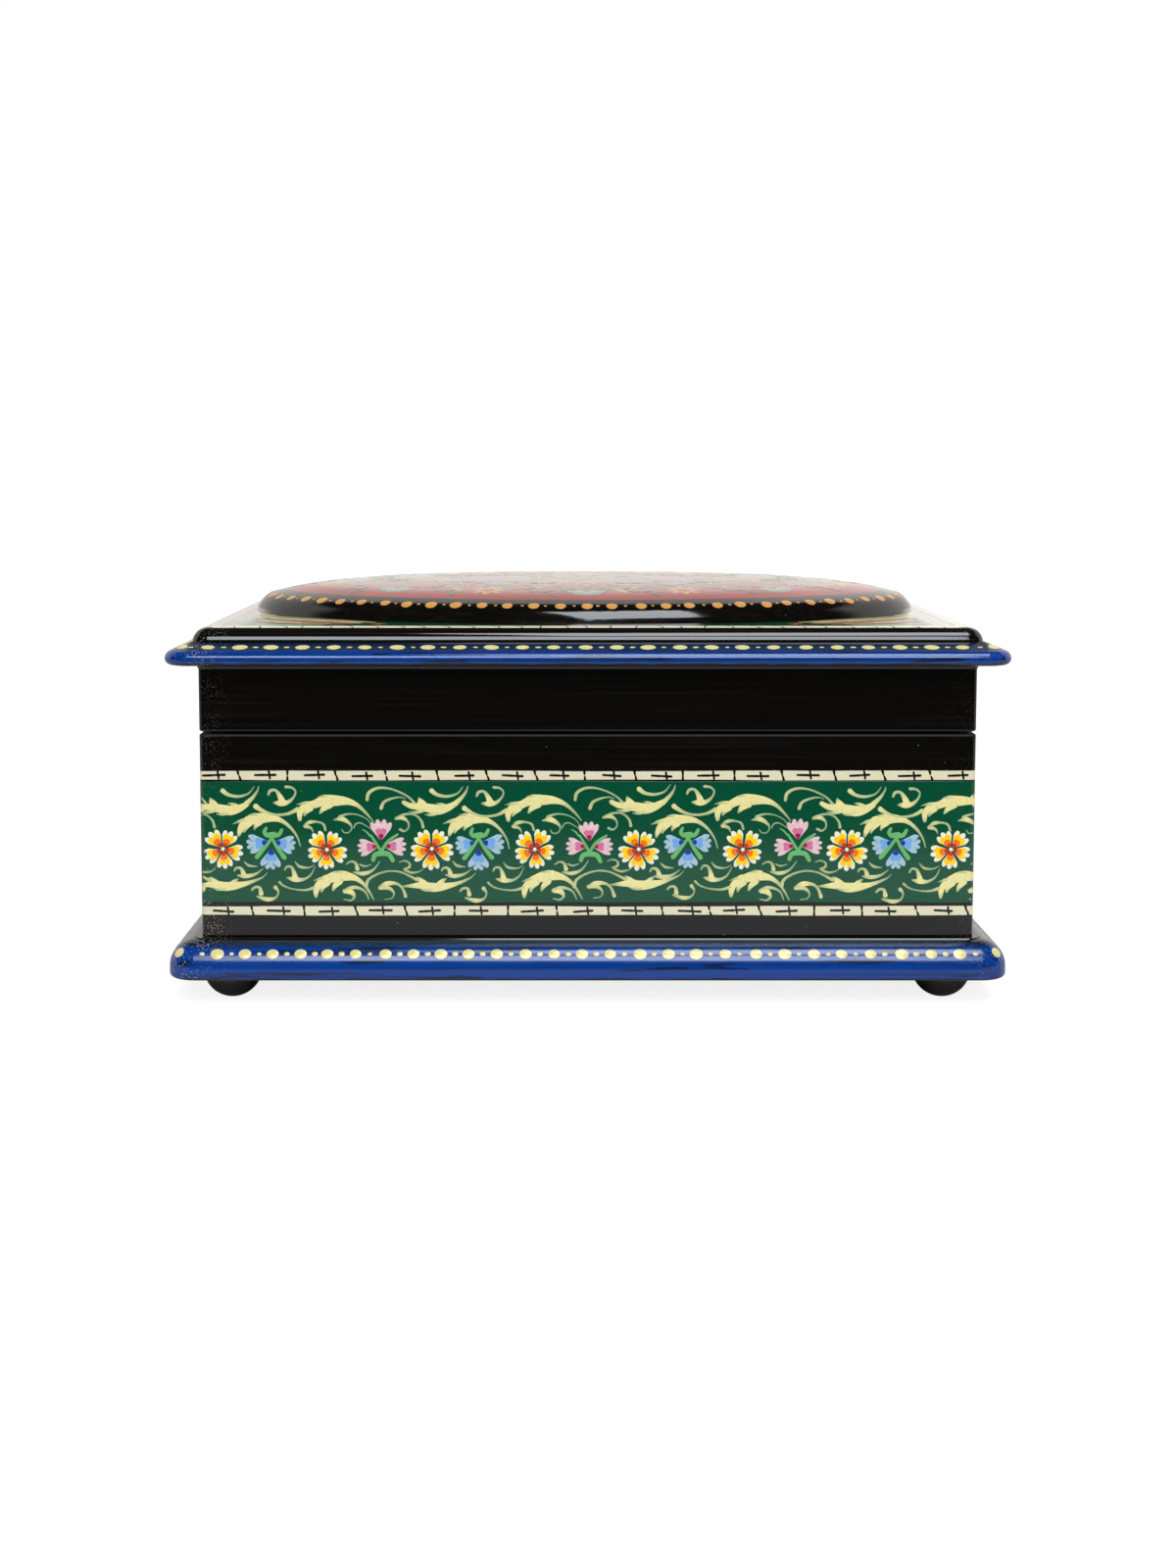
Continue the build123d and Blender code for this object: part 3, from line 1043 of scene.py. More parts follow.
class Paints:
    """The brushed colours of the painting."""

    SCROLL = Paint("cream_scroll_paint", Tones.SCROLL, Tones.THIN_SCROLL, mottling=0.08)
    WHITE = Paint("white_petal_paint", Tones.WHITE, Tones.THIN_WHITE)
    YELLOW = Paint("yellow_petal_paint", Tones.YELLOW, Tones.ORANGE)
    ORANGE = Paint("orange_petal_paint", Tones.ORANGE, Tones.YELLOW)
    RED = Paint("red_petal_paint", Tones.RED, Tones.ORANGE, mottling=0.16)
    PALE_BLUE = Paint("pale_blue_petal_paint", Tones.PALE_BLUE, Tones.MID_BLUE)
    MID_BLUE = Paint("mid_blue_petal_paint", Tones.MID_BLUE, Tones.PALE_BLUE)
    DARK_BLUE = Paint("dark_blue_petal_paint", Tones.DARK_BLUE, Tones.MID_BLUE)
    SEPAL = Paint("leaf_green_paint", Tones.SEPAL, Tones.LEAF_GREEN)
    PALE_PINK = Paint("pale_pink_petal_paint", Tones.PALE_PINK, Tones.MID_PINK)
    MID_PINK = Paint("mid_pink_petal_paint", Tones.MID_PINK, Tones.PALE_PINK)
    CRIMSON = Paint("crimson_petal_paint", Tones.CRIMSON, Tones.MID_PINK)
    CREAM = Paint("cream_stripe_paint", Tones.CREAM, Tones.DOT, mottling=0.05)
    DOT = Paint("pale_yellow_dot_paint", Tones.DOT, Tones.CREAM, mottling=0.08)
    GOLD_DOT = Paint("orange_gold_dot_paint", Tones.GOLD_DOT, Tones.BROWN_RED, mottling=0.08)
    GREEN = Paint("deep_green_ground_paint", Tones.GREEN, Tones.DEEP_GREEN, mottling=0.12)
    OLD_CREAM = Paint("old_cream_paint", Tones.OLD_CREAM, Tones.OLD_LEAF)
    OLD_LEAF = Paint("old_leaf_paint", Tones.OLD_LEAF, Tones.BROWN_RED)
    OLD_BLUE = Paint("old_blue_paint", Tones.OLD_BLUE, Tones.OLD_LEAF)
    OLD_GOLD = Paint("old_gold_paint", Tones.OLD_GOLD, Tones.BROWN_RED)
    OLD_ORANGE = Paint("old_orange_paint", Tones.OLD_ORANGE, Tones.BROWN_RED)
    TAN = Paint("tan_leaf_paint", Tones.TAN, Tones.BROWN_RED, mottling=0.16)
    BROWN = Paint("brown_red_vein_paint", Tones.BROWN_RED, Tones.RED)
    BLACK = Paint("black_line_paint", Tones.BLACK, Tones.SOFT_BLACK)


# ----------------------------------------
# Motifs, in millimetres about their own centre


def scaled(points: Iterable[Point], widths: Iterable[float]) -> tuple[StrokePoint, ...]:
    """Joins places and brush widths into a stroke."""
    return tuple((x, y, width) for (x, y), width in zip(points, widths, strict=True))


class Scrolls:
    """The acanthus sprays and small curls that fill the green band."""

    LEAF_A = (
        (
            (-2.3, 8.8, 0.4), (-4.2, 11.2, 0.7), (-7.1, 13.9, 1.2), (-10.3, 15.1, 2.2), (-14.0, 15.3, 3.2),
            (-17.0, 15.3, 3.0), (-20.0, 14.1, 2.3),
        ),
        ((-20.0, 14.1, 2.3), (-22.9, 13.2, 2.1), (-24.3, 11.6, 1.9), (-24.4, 9.3, 1.1)),
        ((-15.0, 16.0, 1.7), (-16.8, 16.5, 1.1), (-18.8, 16.4, 0.2)),
        ((-20.5, 14.2, 1.6), (-23.0, 14.4, 1.0), (-25.3, 14.0, 0.2)),
        ((-15.2, 14.0, 2.2), (-17.0, 13.0, 1.8), (-18.2, 11.5, 0.7)),
        ((-21.0, 12.9, 1.8), (-22.3, 11.9, 1.4), (-22.9, 10.7, 0.6)),
        (
            (-25.0, 12.4, 1.3), (-27.9, 11.0, 0.9), (-31.5, 10.6, 0.8), (-34.5, 11.3, 1.0),
            (-36.8, 12.6, 1.3), (-37.7, 13.3, 1.6),
        ),
    )
    LEAF_B = (
        (
            (-3.9, 15.3, 0.9), (-3.3, 17.5, 1.0), (-0.6, 18.9, 0.8), (3.0, 18.7, 0.6), (6.5, 17.4, 0.6),
            (8.9, 15.9, 0.6), (10.4, 14.2, 0.9),
        ),
        ((0.3, 12.7, 1.1), (1.2, 14.6, 0.9), (3.6, 15.7, 0.7), (6.2, 16.1, 0.4), (7.8, 15.6, 0.2)),
        (
            (7.0, 14.5, 1.3), (9.2, 13.4, 1.7), (11.9, 13.2, 2.4), (14.8, 12.7, 2.8), (17.5, 12.2, 3.1),
            (20.2, 12.8, 2.4), (22.6, 14.1, 1.6),
        ),
        ((22.6, 14.1, 1.6), (24.8, 16.3, 1.0), (26.1, 18.3, 0.6), (26.4, 19.5, 0.3)),
        ((12.8, 13.8, 2.4), (12.0, 15.0, 1.6), (11.7, 15.8, 0.6)),
        ((19.4, 13.4, 1.6), (18.2, 14.1, 1.0), (16.8, 14.4, 0.2)),
        ((12.6, 12.2, 1.4), (10.6, 11.6, 0.9), (8.6, 11.9, 0.2)),
        ((16.6, 11.4, 1.4), (14.9, 10.9, 0.9), (13.4, 11.0, 0.2)),
        ((15.4, 18.3, 1.5), (17.2, 17.0, 1.1), (20.2, 16.5, 0.9), (23.2, 17.4, 0.6), (24.9, 19.5, 0.25)),
    )
    LEAF_C = (
        (
            (8.8, 0.5, 0.4), (7.9, 3.4, 0.6), (5.8, 6.4, 0.9), (3.1, 8.5, 1.3), (0.2, 9.3, 2.2),
            (-3.4, 9.2, 3.1), (-6.6, 8.7, 2.6),
        ),
        ((-6.6, 8.7, 2.6), (-8.4, 7.2, 2.0), (-9.2, 5.4, 1.6), (-9.6, 4.0, 0.8)),
        ((-3.3, 10.1, 1.6), (-4.9, 10.5, 1.0), (-6.6, 10.4, 0.2)),
        ((-6.9, 8.9, 1.6), (-9.2, 8.5, 1.0), (-11.3, 7.7, 0.2)),
        ((-6.1, 7.9, 2.0), (-7.4, 6.5, 1.5), (-8.0, 5.1, 0.7)),
        ((-3.2, 8.1, 2.0), (-4.4, 7.0, 1.4), (-4.9, 5.9, 0.6)),
    )
    LEAF_D = (
        (
            (-2.3, -15.6, 0.4), (-3.6, -13.2, 0.7), (-5.3, -10.8, 1.0), (-7.7, -9.0, 1.6),
            (-10.7, -8.3, 2.8), (-13.7, -8.4, 3.2), (-16.6, -9.4, 2.6),
        ),
        ((-16.6, -9.4, 2.6), (-19.0, -11.2, 2.0), (-19.7, -13.0, 1.7), (-19.8, -14.8, 0.9)),
        ((-11.0, -7.4, 1.6), (-12.8, -7.0, 1.0), (-14.5, -7.1, 0.2)),
        ((-16.4, -9.2, 1.6), (-18.4, -9.2, 1.0), (-20.5, -9.8, 0.2)),
        ((-16.2, -10.3, 2.0), (-17.6, -11.6, 1.5), (-18.0, -13.0, 0.7)),
        ((-12.6, -9.9, 2.2), (-14.0, -11.4, 1.5), (-14.6, -12.7, 0.7)),
        (
            (-20.4, -11.9, 1.0), (-23.2, -12.6, 0.7), (-26.7, -12.3, 0.5), (-29.4, -11.4, 0.6),
            (-30.9, -10.1, 0.8),
        ),
        ((-3.9, -15.6, 0.4), (-4.8, -13.5, 0.6), (-6.5, -12.3, 0.8), (-8.9, -12.0, 1.1), (-11.2, -12.9, 0.7)),
        (
            (-10.9, -12.9, 1.4), (-8.9, -13.2, 1.6), (-8.0, -14.7, 0.8), (-9.2, -15.8, 0.6),
            (-11.2, -15.4, 0.3),
        ),
    )
    LEAF_E = (
        (
            (-4.5, -11.7, 1.1), (-3.9, -9.6, 0.9), (-1.2, -7.8, 0.7), (2.4, -6.8, 0.6), (5.9, -7.1, 0.6),
            (8.3, -8.1, 0.7), (10.9, -9.5, 1.0),
        ),
        (
            (6.5, -11.4, 0.4), (9.5, -11.2, 1.4), (12.5, -11.1, 2.4), (15.4, -11.7, 2.9),
            (18.4, -11.5, 2.6), (22.0, -10.8, 1.5), (25.5, -9.6, 0.8),
        ),
        ((25.5, -9.6, 0.8), (27.2, -8.8, 0.5), (28.6, -7.4, 0.2)),
        ((13.0, -10.6, 2.2), (11.8, -9.4, 1.4), (11.0, -8.8, 0.7)),
        ((18.0, -10.8, 2.0), (18.8, -9.8, 1.2), (19.7, -9.2, 0.5)),
        ((15.2, -12.4, 1.2), (13.2, -12.5, 0.8), (11.8, -12.0, 0.2)),
        ((-0.6, -11.7, 0.5), (1.8, -10.7, 1.5), (4.8, -10.8, 0.9), (6.5, -12.3, 0.8), (7.4, -14.7, 1.1)),
        ((-0.3, -11.9, 1.2), (2.4, -12.0, 1.1), (3.9, -13.5, 0.6), (3.3, -15.1, 0.4), (1.2, -15.5, 0.3)),
    )
    TOP_CURL = (
        ((-33.8, 17.0, 0.7), (-33.2, 18.2, 0.9), (-31.6, 18.3, 0.8), (-30.5, 16.8, 1.3), (-29.8, 15.2, 1.9)),
        (
            (-32.2, 14.5, 0.5), (-30.0, 14.4, 1.9), (-27.9, 14.7, 1.2), (-26.2, 16.2, 0.7),
            (-25.6, 18.0, 0.6), (-26.8, 19.2, 0.7), (-28.5, 19.4, 0.9),
        ),
    )
    SMALL_CURLS = (
        ((-12.5, 10.2, 0.9), (-10.1, 11.0, 0.6), (-7.1, 10.8, 0.4), (-4.2, 9.4, 0.3), (-2.7, 7.3, 0.2)),
        (
            (-14.0, 9.1, 0.4), (-11.6, 9.4, 1.5), (-9.5, 8.2, 1.0), (-8.6, 6.7, 0.5), (-9.5, 5.2, 0.4),
            (-11.0, 5.2, 0.4), (-11.6, 6.1, 0.3),
        ),
        ((-8.0, 6.7, 0.4), (-7.4, 7.9, 0.5), (-5.9, 8.2, 0.4), (-4.2, 7.3, 0.3), (-2.9, 6.4, 0.2)),
        ((4.5, 9.7, 0.7), (7.1, 10.9, 0.7), (10.1, 10.9, 0.6), (12.2, 9.1, 0.7), (12.8, 7.0, 0.9)),
        (
            (4.8, 9.7, 0.9), (6.5, 10.0, 1.3), (8.3, 8.8, 0.7), (8.6, 7.0, 0.5), (7.4, 5.8, 0.6),
            (6.0, 6.3, 0.8),
        ),
        ((-16.6, 6.1, 0.7), (-17.2, 7.9, 0.7), (-19.0, 8.6, 0.6), (-21.4, 8.5, 1.1), (-23.2, 7.3, 0.4)),
        ((-22.9, 7.3, 1.2), (-21.1, 6.7, 0.8), (-20.4, 5.3, 0.3)),
        ((-29.1, -6.4, 0.6), (-28.4, -5.4, 0.7), (-27.0, -5.7, 0.8), (-26.3, -7.4, 1.3), (-26.0, -8.8, 1.8)),
        ((-28.3, -8.9, 0.5), (-26.0, -9.4, 1.6), (-23.4, -9.4, 0.9), (-21.2, -8.0, 0.6), (-19.9, -5.5, 0.25)),
        ((-26.1, -4.0, 0.3), (-24.7, -5.5, 0.8), (-22.0, -5.8, 0.5), (-20.2, -4.9, 0.2)),
        ((-10.4, -4.6, 0.5), (-9.2, -3.9, 0.6), (-7.7, -4.3, 0.8), (-7.1, -6.2, 1.3)),
        ((-8.2, -7.1, 0.5), (-5.3, -7.5, 1.2), (-2.4, -6.4, 0.7), (-0.3, -3.7, 0.3)),
        ((-6.5, -4.6, 0.5), (-5.0, -5.2, 0.6), (-3.0, -4.6, 0.2)),
        ((5.6, -4.0, 0.3), (7.1, -3.5, 0.5), (8.6, -4.1, 0.6), (8.7, -5.4, 0.8), (7.1, -6.1, 0.6)),
        ((7.4, -6.4, 0.7), (9.5, -7.2, 0.7), (11.9, -6.7, 0.4), (13.1, -5.5, 0.2)),
        ((-39.2, -12.6, 0.7), (-38.3, -11.8, 0.8), (-36.9, -12.0, 0.9), (-36.5, -13.8, 1.4)),
        (
            (-37.6, -14.6, 0.6), (-34.5, -15.5, 1.3), (-32.1, -15.0, 0.7), (-31.2, -13.2, 0.6),
            (-32.1, -11.7, 1.2),
        ),
    )
    BLUE_CURLS = (
        ((-11.4, -6.9, 0.6), (-10.8, -6.1, 0.7), (-9.4, -6.3, 0.9), (-8.7, -7.9, 1.4)),
        ((-10.2, -8.4, 0.5), (-7.8, -8.7, 1.3), (-4.9, -8.1, 0.8), (-2.5, -6.4, 0.3)),
        ((-8.1, -4.3, 0.4), (-6.7, -5.5, 0.8), (-4.3, -5.8, 0.3)),
    )
    BESIDE_PINK = (*LEAF_A, *LEAF_B, *LEAF_D, *LEAF_E, *TOP_CURL, *SMALL_CURLS)
    BESIDE_BLUE = (*LEAF_C, *BLUE_CURLS)


def toward(direction: float, reach: float) -> Point:
    """Gives the point at a distance in a direction in degrees."""
    return (reach * math.cos(math.radians(direction)), reach * math.sin(math.radians(direction)))


def shifted(points: Iterable[Point], x: float, y: float) -> list[Point]:
    """Moves an outline by x and y."""
    return [(x + a, y + b) for a, b in points]


def turned(points: Iterable[Point], direction: float) -> list[Point]:
    """Turns an outline drawn along its first axis to a direction in degrees."""
    along, up = toward(direction, 1.0)
    return [(x * along - y * up, x * up + y * along) for x, y in points]


def fan_petal(
    direction: float, reach: float, spread: float, fingers: int, depth: float, foot: float
) -> list[Point]:
    """Outlines a petal with straight sides that ends in a row of fingers.

    Args:
        direction: The way it points, in degrees.
        reach: How far its middle finger reaches from the centre.
        spread: How wide it fans, in degrees.
        fingers: How many fingers it ends in.
        depth: How deep the clefts between them are, as a share of the reach.
        foot: How far from the centre its foot is.

    Returns:
        The outline, anticlockwise about the petal.
    """
    steps = 5 * fingers
    outline = [toward(direction - 12, foot)]
    for index in range(steps + 1):
        share = index / steps
        finger = abs(math.sin(share * fingers * math.pi)) ** 0.75
        side = abs(2 * share - 1)
        radius = reach * (1 - depth * (1 - finger) - 0.10 * side * side)
        outline.append(toward(direction + spread * (share - 0.5), radius))
    outline.append(toward(direction + 12, foot))
    return outline


def lobed_petal(direction: float, reach: float, width: float) -> list[Point]:
    """Outlines a petal that fans out from the flower's centre to a tip with three lobes.

    Args:
        direction: The way it points, in degrees.
        reach: How far its tip is from the centre.
        width: How wide it is near the tip.

    Returns:
        The outline, anticlockwise about the petal.
    """
    lobes = 3
    foot = 0.6
    shoulder = reach * 0.70
    steps = 4 * lobes
    outline: list[Point] = [(foot, -width * 0.10), (reach * 0.38, -width * 0.36)]
    for index in range(steps + 1):
        share = index / steps
        frill = abs(math.sin(share * lobes * math.pi))
        crown = math.sin(share * math.pi) ** 0.6
        outline.append((shoulder + (reach - shoulder) * crown * (0.66 + 0.34 * frill), width * (share - 0.5)))
    outline += [(reach * 0.38, width * 0.36), (foot, width * 0.10)]
    return turned(outline, direction)


def leaf_shape(direction: float, reach: float, width: float, start: float) -> list[Point]:
    """Outlines a plain pointed petal or leaf between two distances from the centre."""
    outline: list[Point] = []
    count = 7
    for side in (-1, 1):
        for index in range(count):
            share = index / count if side < 0 else 1 - index / count
            swell = math.sin(math.pi * share**0.8) ** 0.8
            outline.append((start + (reach - start) * share, side * width / 2 * swell))
    return turned(outline, direction)


def round_spot(radius: float, count: int = 12, stretch: float = 1.0) -> list[Point]:
    """Outlines a dot, stretched along its first axis."""
    turns = [2 * math.pi * index / count for index in range(count)]
    return [(radius * stretch * math.cos(turn), radius * math.sin(turn)) for turn in turns]


@dataclass(frozen=True)
class PetalCoat:
    """One coat of a fanned petal: its share of the petal, its fingers, its paint and its layer."""

    reach: float
    spread: float
    fingers: int
    depth: float
    paint: Paint
    layer: Layer


@dataclass(frozen=True)
class FannedFlower:
    """A flower of three fanned petals over green stems, in millimetres about its origin."""

    petals: tuple[tuple[float, float, float, float], ...]
    coats: tuple[PetalCoat, ...]
    stems: tuple[tuple[StrokePoint, ...], ...]


BLUEBELL = FannedFlower(
    petals=((187, 7.6, 58, 2.3), (-6, 7.6, 58, 2.3), (-90, 7.1, 66, 0.9)),
    coats=(
        PetalCoat(1.0, 1.0, 4, 0.14, Paints.PALE_BLUE, Layer.OUTLINE),
        PetalCoat(0.70, 0.84, 2, 0.10, Paints.MID_BLUE, Layer.BODY),
        PetalCoat(0.40, 0.8, 1, 0.12, Paints.DARK_BLUE, Layer.SHADE),
    ),
    stems=(
        (
            (-1.7, 6.6, 0.9), (-2.2, 5.4, 1.2), (-1.5, 4.4, 1.3), (0.3, 4.2, 1.3), (2.2, 4.6, 1.3),
            (3.1, 6.1, 1.0),
        ),
        ((-0.9, 4.7, 1.1), (0.9, 4.9, 1.1)),
        ((0.1, 3.6, 0.8), (-1.6, 1.2, 1.1), (-4.5, -2.4, 1.45)),
        ((0.1, 3.6, 0.8), (1.6, 0.8, 1.1), (3.9, -2.5, 1.45)),
    ),
)
PINK = FannedFlower(
    petals=((92, 7.3, 70, 1.9), (184, 7.7, 56, 1.0), (-3, 7.6, 56, 1.0)),
    coats=(
        PetalCoat(1.0, 1.0, 4, 0.20, Paints.PALE_PINK, Layer.OUTLINE),
        PetalCoat(0.66, 0.76, 2, 0.10, Paints.MID_PINK, Layer.BODY),
        PetalCoat(0.40, 0.66, 1, 0.12, Paints.CRIMSON, Layer.SHADE),
    ),
    stems=(
        ((-0.1, -0.6, 0.8), (-1.6, 1.9, 0.9), (-3.1, 4.4, 0.6)),
        ((-3.4, 4.2, 0.5), (-4.3, 5.4, 0.5), (-5.6, 6.2, 0.25)),
        ((0.1, -0.6, 0.8), (2.0, 2.2, 1.0), (5.1, 4.4, 0.7)),
        ((-2.6, -3.3, 1.3), (-2.0, -1.8, 1.5), (-0.3, -1.4, 1.6), (2.2, -1.7, 1.5), (3.4, -3.6, 1.3)),
        ((0.0, -0.4, 0.9), (0.0, -1.6, 1.0)),
    ),
)
ROSETTE_COATS = (
    PetalCoat(6.45, 62, 3, 0.19, Paints.WHITE, Layer.OUTLINE),
    PetalCoat(5.35, 56, 2, 0.13, Paints.YELLOW, Layer.BODY),
    PetalCoat(3.9, 52, 1, 0.16, Paints.ORANGE, Layer.SHADE),
    PetalCoat(2.3, 54, 1, 0.14, Paints.RED, Layer.CORE),
)


class Flowers:
    """Paints the three flowers of the band with a slightly unsteady hand."""

    def __init__(self, seed: int) -> None:
        """Starts the hand's own run of chance."""
        self._chance = random.Random(seed)

    def _shake(self, amount: float) -> float:
        """Gives a small chance shift."""
        return self._chance.uniform(-amount, amount)

    def rosette(self, piece: PaintedPiece, place: Placement) -> None:
        """Paints a white flower of five fingered petals, shaded yellow, orange and red to its eye."""
        petals = 5
        first = -90.0 + self._shake(7)
        for index in range(petals):
            way = first + 360 / petals * index + self._shake(3)
            size = 1 + self._shake(0.06)
            lean = way + self._shake(3)
            for coat in ROSETTE_COATS:
                reach = coat.reach * size
                outline = fan_petal(lean, reach, coat.spread, coat.fingers, coat.depth, 0.75)
                piece.blob(outline, toward(lean, reach * 0.62), coat.paint, coat.layer, place)
        piece.blob(round_spot(0.6), (0, 0), Paints.WHITE, Layer.CORE, place, dome=0.05)

    def fanned(self, flower: FannedFlower, piece: PaintedPiece, place: Placement) -> None:
        """Paints a flower of fanned petals and then its stems."""
        for way, reach, spread, rise in flower.petals:
            way += self._shake(4)
            reach *= 1 + self._shake(0.05)
            u, v = place.apply(0.0, rise)
            petal_place = replace(place, u=u, v=v)
            for coat in flower.coats:
                size = reach * coat.reach
                outline = fan_petal(way, size, spread * coat.spread, coat.fingers, coat.depth, 0.9)
                piece.blob(outline, toward(way, size * 0.66), coat.paint, coat.layer, petal_place)
        for stem in flower.stems:
            piece.stroke(stem, Paints.SEPAL, Layer.CORE, place, load=1.0)


# ----------------------------------------
# Sub-assemblies


class Hand:
    """An unsteady hand: smooth wander along a line, the same each time."""

    def __init__(self, seed: int) -> None:
        """Draws the waves of the wander."""
        chance = random.Random(seed)
        self._waves = [
            (chance.uniform(0.6, 1.0) / order, order * chance.uniform(0.035, 0.05), chance.uniform(0, 6.28))
            for order in (1, 2, 4, 9)
        ]
        self.chance = chance

    def wander(self, along: float, amount: float) -> float:
        """Gives the hand's drift at a distance along the line."""
        return amount * sum(size * math.sin(rate * along + phase) for size, rate, phase in self._waves)

    def near(self, value: float, amount: float) -> float:
        """Gives a value with a small chance error."""
        return value + self.chance.uniform(-amount, amount)


@dataclass
class BodyPainting:
    """The green flowered band and its two ticked stripes, carried round all four sides."""

    finishes: Finishes
    carcass: Carcass
    corner: float = 1.8
    band: tuple[float, float] = (31.2, 68.9)
    stripes: tuple[tuple[float, float], ...] = ((27.2, 30.0), (69.3, 72.1))
    flower_line: float = 47.9
    long_pitch: float = 15.99
    drawn_pitch: float = 15.77
    short_pitch: float = 16.2
    long_count: int = 7
    short_count: int = 4
    pink_shift: float = 0.55
    blue_shift: float = -1.1
    mark_pitches: tuple[float, float] = (15.7, 15.2)
    mark_starts: tuple[float, float] = (-9.0, -0.9)

    def paint(self) -> None:
        """Paints every side."""
        half_length, half_depth = self.carcass.half_length / MM, self.carcass.half_depth / MM
        long_side = (half_length, half_depth, self.long_pitch, self.long_count)
        short_side = (half_depth, half_length, self.short_pitch, self.short_count)
        sides = (("front", long_side), ("right", short_side), ("back", long_side), ("left", short_side))
        for turns, (side, (half, reach, pitch, count)) in enumerate(sides):
            face = WallFace(half, reach, self.corner, turns)
            hand = Hand(SEED + turns)
            self._fields(side, face, hand)
            self._scrolls(side, face, hand, pitch, count)
            self._flowers(side, face, pitch, count)

    def _piece(self, side: str, part: str, face: WallFace) -> PaintedPiece:
        """Starts one side's piece."""
        return PaintedPiece(f"{side}_band_{part}", face, self.finishes, "box", "painted_green_lacquer")

    def _columns(self, face: WallFace) -> list[float]:
        """Gives distances across a side, closer together round the corners."""
        flat = face.half - face.corner
        arc = face.corner * math.pi / 4
        bends = [flat + arc * share for share in (0.25, 0.5, 0.75, 1.0)]
        middle = [flat * (index / 40 - 1) for index in range(81)]
        return [-bend for bend in reversed(bends)] + middle + bends

    def _fields(self, side: str, face: WallFace, hand: Hand) -> None:
        """Lays the green band, the cream stripes and their black marks on one side."""
        piece = self._piece(side, "ground", face)
        columns = self._columns(face)

        def edge(level: float, shift: float, amount: float) -> list[Point]:
            """Runs an uneven edge across the side."""
            return [(u, level + hand.wander(u + shift, amount)) for u in columns]

        low, high = self.band
        piece.sheet((edge(low, 0, 0.10), edge(high, 500, 0.10)), Paints.GREEN, Layer.PANEL)
        for order, stripe in enumerate(self.stripes):
            start = 900 + 300 * order
            rows = [edge(level, start + shift, 0.14) for level, shift in zip(stripe, (0, 500), strict=True)]
            piece.sheet(rows, Paints.CREAM, Layer.PANEL)
            self._marks(piece, face, hand, order)
        piece.build()

    def _marks(self, piece: PaintedPiece, face: WallFace, hand: Hand, order: int) -> None:
        """Ticks one stripe: a tall broken tick, then a dash with a short cross, over and over."""
        bottom, top = self.stripes[order]
        pitch = self.mark_pitches[order]
        count = int(face.half // pitch) + 1
        middle = (bottom + top) / 2
        for index in range(-count, count + 1):
            u = hand.near(self.mark_starts[order] + index * pitch, 0.7)
            lean = hand.near(0.22, 0.28)
            gap = hand.near(0.25, 0.15)
            if abs(u) < face.half - 2:
                piece.line((u - lean, top - 0.05, 0.86), (u - lean * 0.4, middle + gap, 0.56))
                piece.line((u + lean * 0.2, middle - gap, 0.56), (u + lean, bottom + 0.05, 0.78))
            centre = hand.near(u + pitch / 2, 0.7)
            level = hand.near(middle, 0.2)
            tilt = hand.near(0.0, 0.2)
            dash = hand.near(3.0, 0.4)
            joint = hand.near(0.2, 0.5)
            cross = centre + hand.near(1.2, 0.5)
            if abs(centre) > face.half - 4:
                continue
            for start, end in ((-dash, joint - 0.22), (joint + 0.22, dash)):
                first = (centre + start, level + tilt * start / dash, 0.70)
                piece.line(first, (centre + end, level + tilt * end / dash, 0.80))
            piece.line((cross - 0.15, level + 1.1, 0.70), (cross + 0.15, level - 1.05, 0.62), Layer.BODY)

    def _flower_place(self, hand: Hand, pitch: float, index: int, jitter: float) -> Placement:
        """Gives the place of one flower of the row, each kind a little off the even spacing."""
        shift = 0.0 if index % 2 else (self.pink_shift if index % 4 == 0 else self.blue_shift)
        u = pitch * index - 0.1 + shift
        return Placement(u + hand.near(0, jitter), self.flower_line + hand.near(0, jitter), hand.near(0, 2))

    def _scrolls(self, side: str, face: WallFace, hand: Hand, pitch: float, count: int) -> None:
        """Paints the cream sprays and curls between and around one side's flowers."""
        piece = self._piece(side, "scrolls", face)
        piece.limit = face.half - 0.5
        stretch = pitch / self.drawn_pitch
        for index in range(-count - 3, count + 4):
            if index % 2:
                continue
            place = self._flower_place(hand, pitch, index, 0.25)
            for stroke in Scrolls.BESIDE_BLUE if index % 4 else Scrolls.BESIDE_PINK:
                shift = (hand.near(0, 0.14), hand.near(0, 0.14))
                swell = hand.near(1.0, 0.06)
                moved = [((x + shift[0]) * stretch, y + shift[1], width * swell) for x, y, width in stroke]
                piece.stroke(moved, Paints.SCROLL, Layer.OUTLINE, place)
        piece.build()

    def _flowers(self, side: str, face: WallFace, pitch: float, count: int) -> None:
        """Paints one side's row of rosettes, blue and pink flowers."""
        piece = self._piece(side, "flowers", face)
        flowers = Flowers(SEED * 7 + face.quarter_turns)
        hand = Hand(SEED * 3 + face.quarter_turns)
        for index in range(-count, count + 1):
            place = self._flower_place(hand, pitch, index, 0.3)
            if index % 2:
                flowers.rosette(piece, place)
            else:
                flowers.fanned(BLUEBELL if index % 4 else PINK, piece, place)
        piece.build()


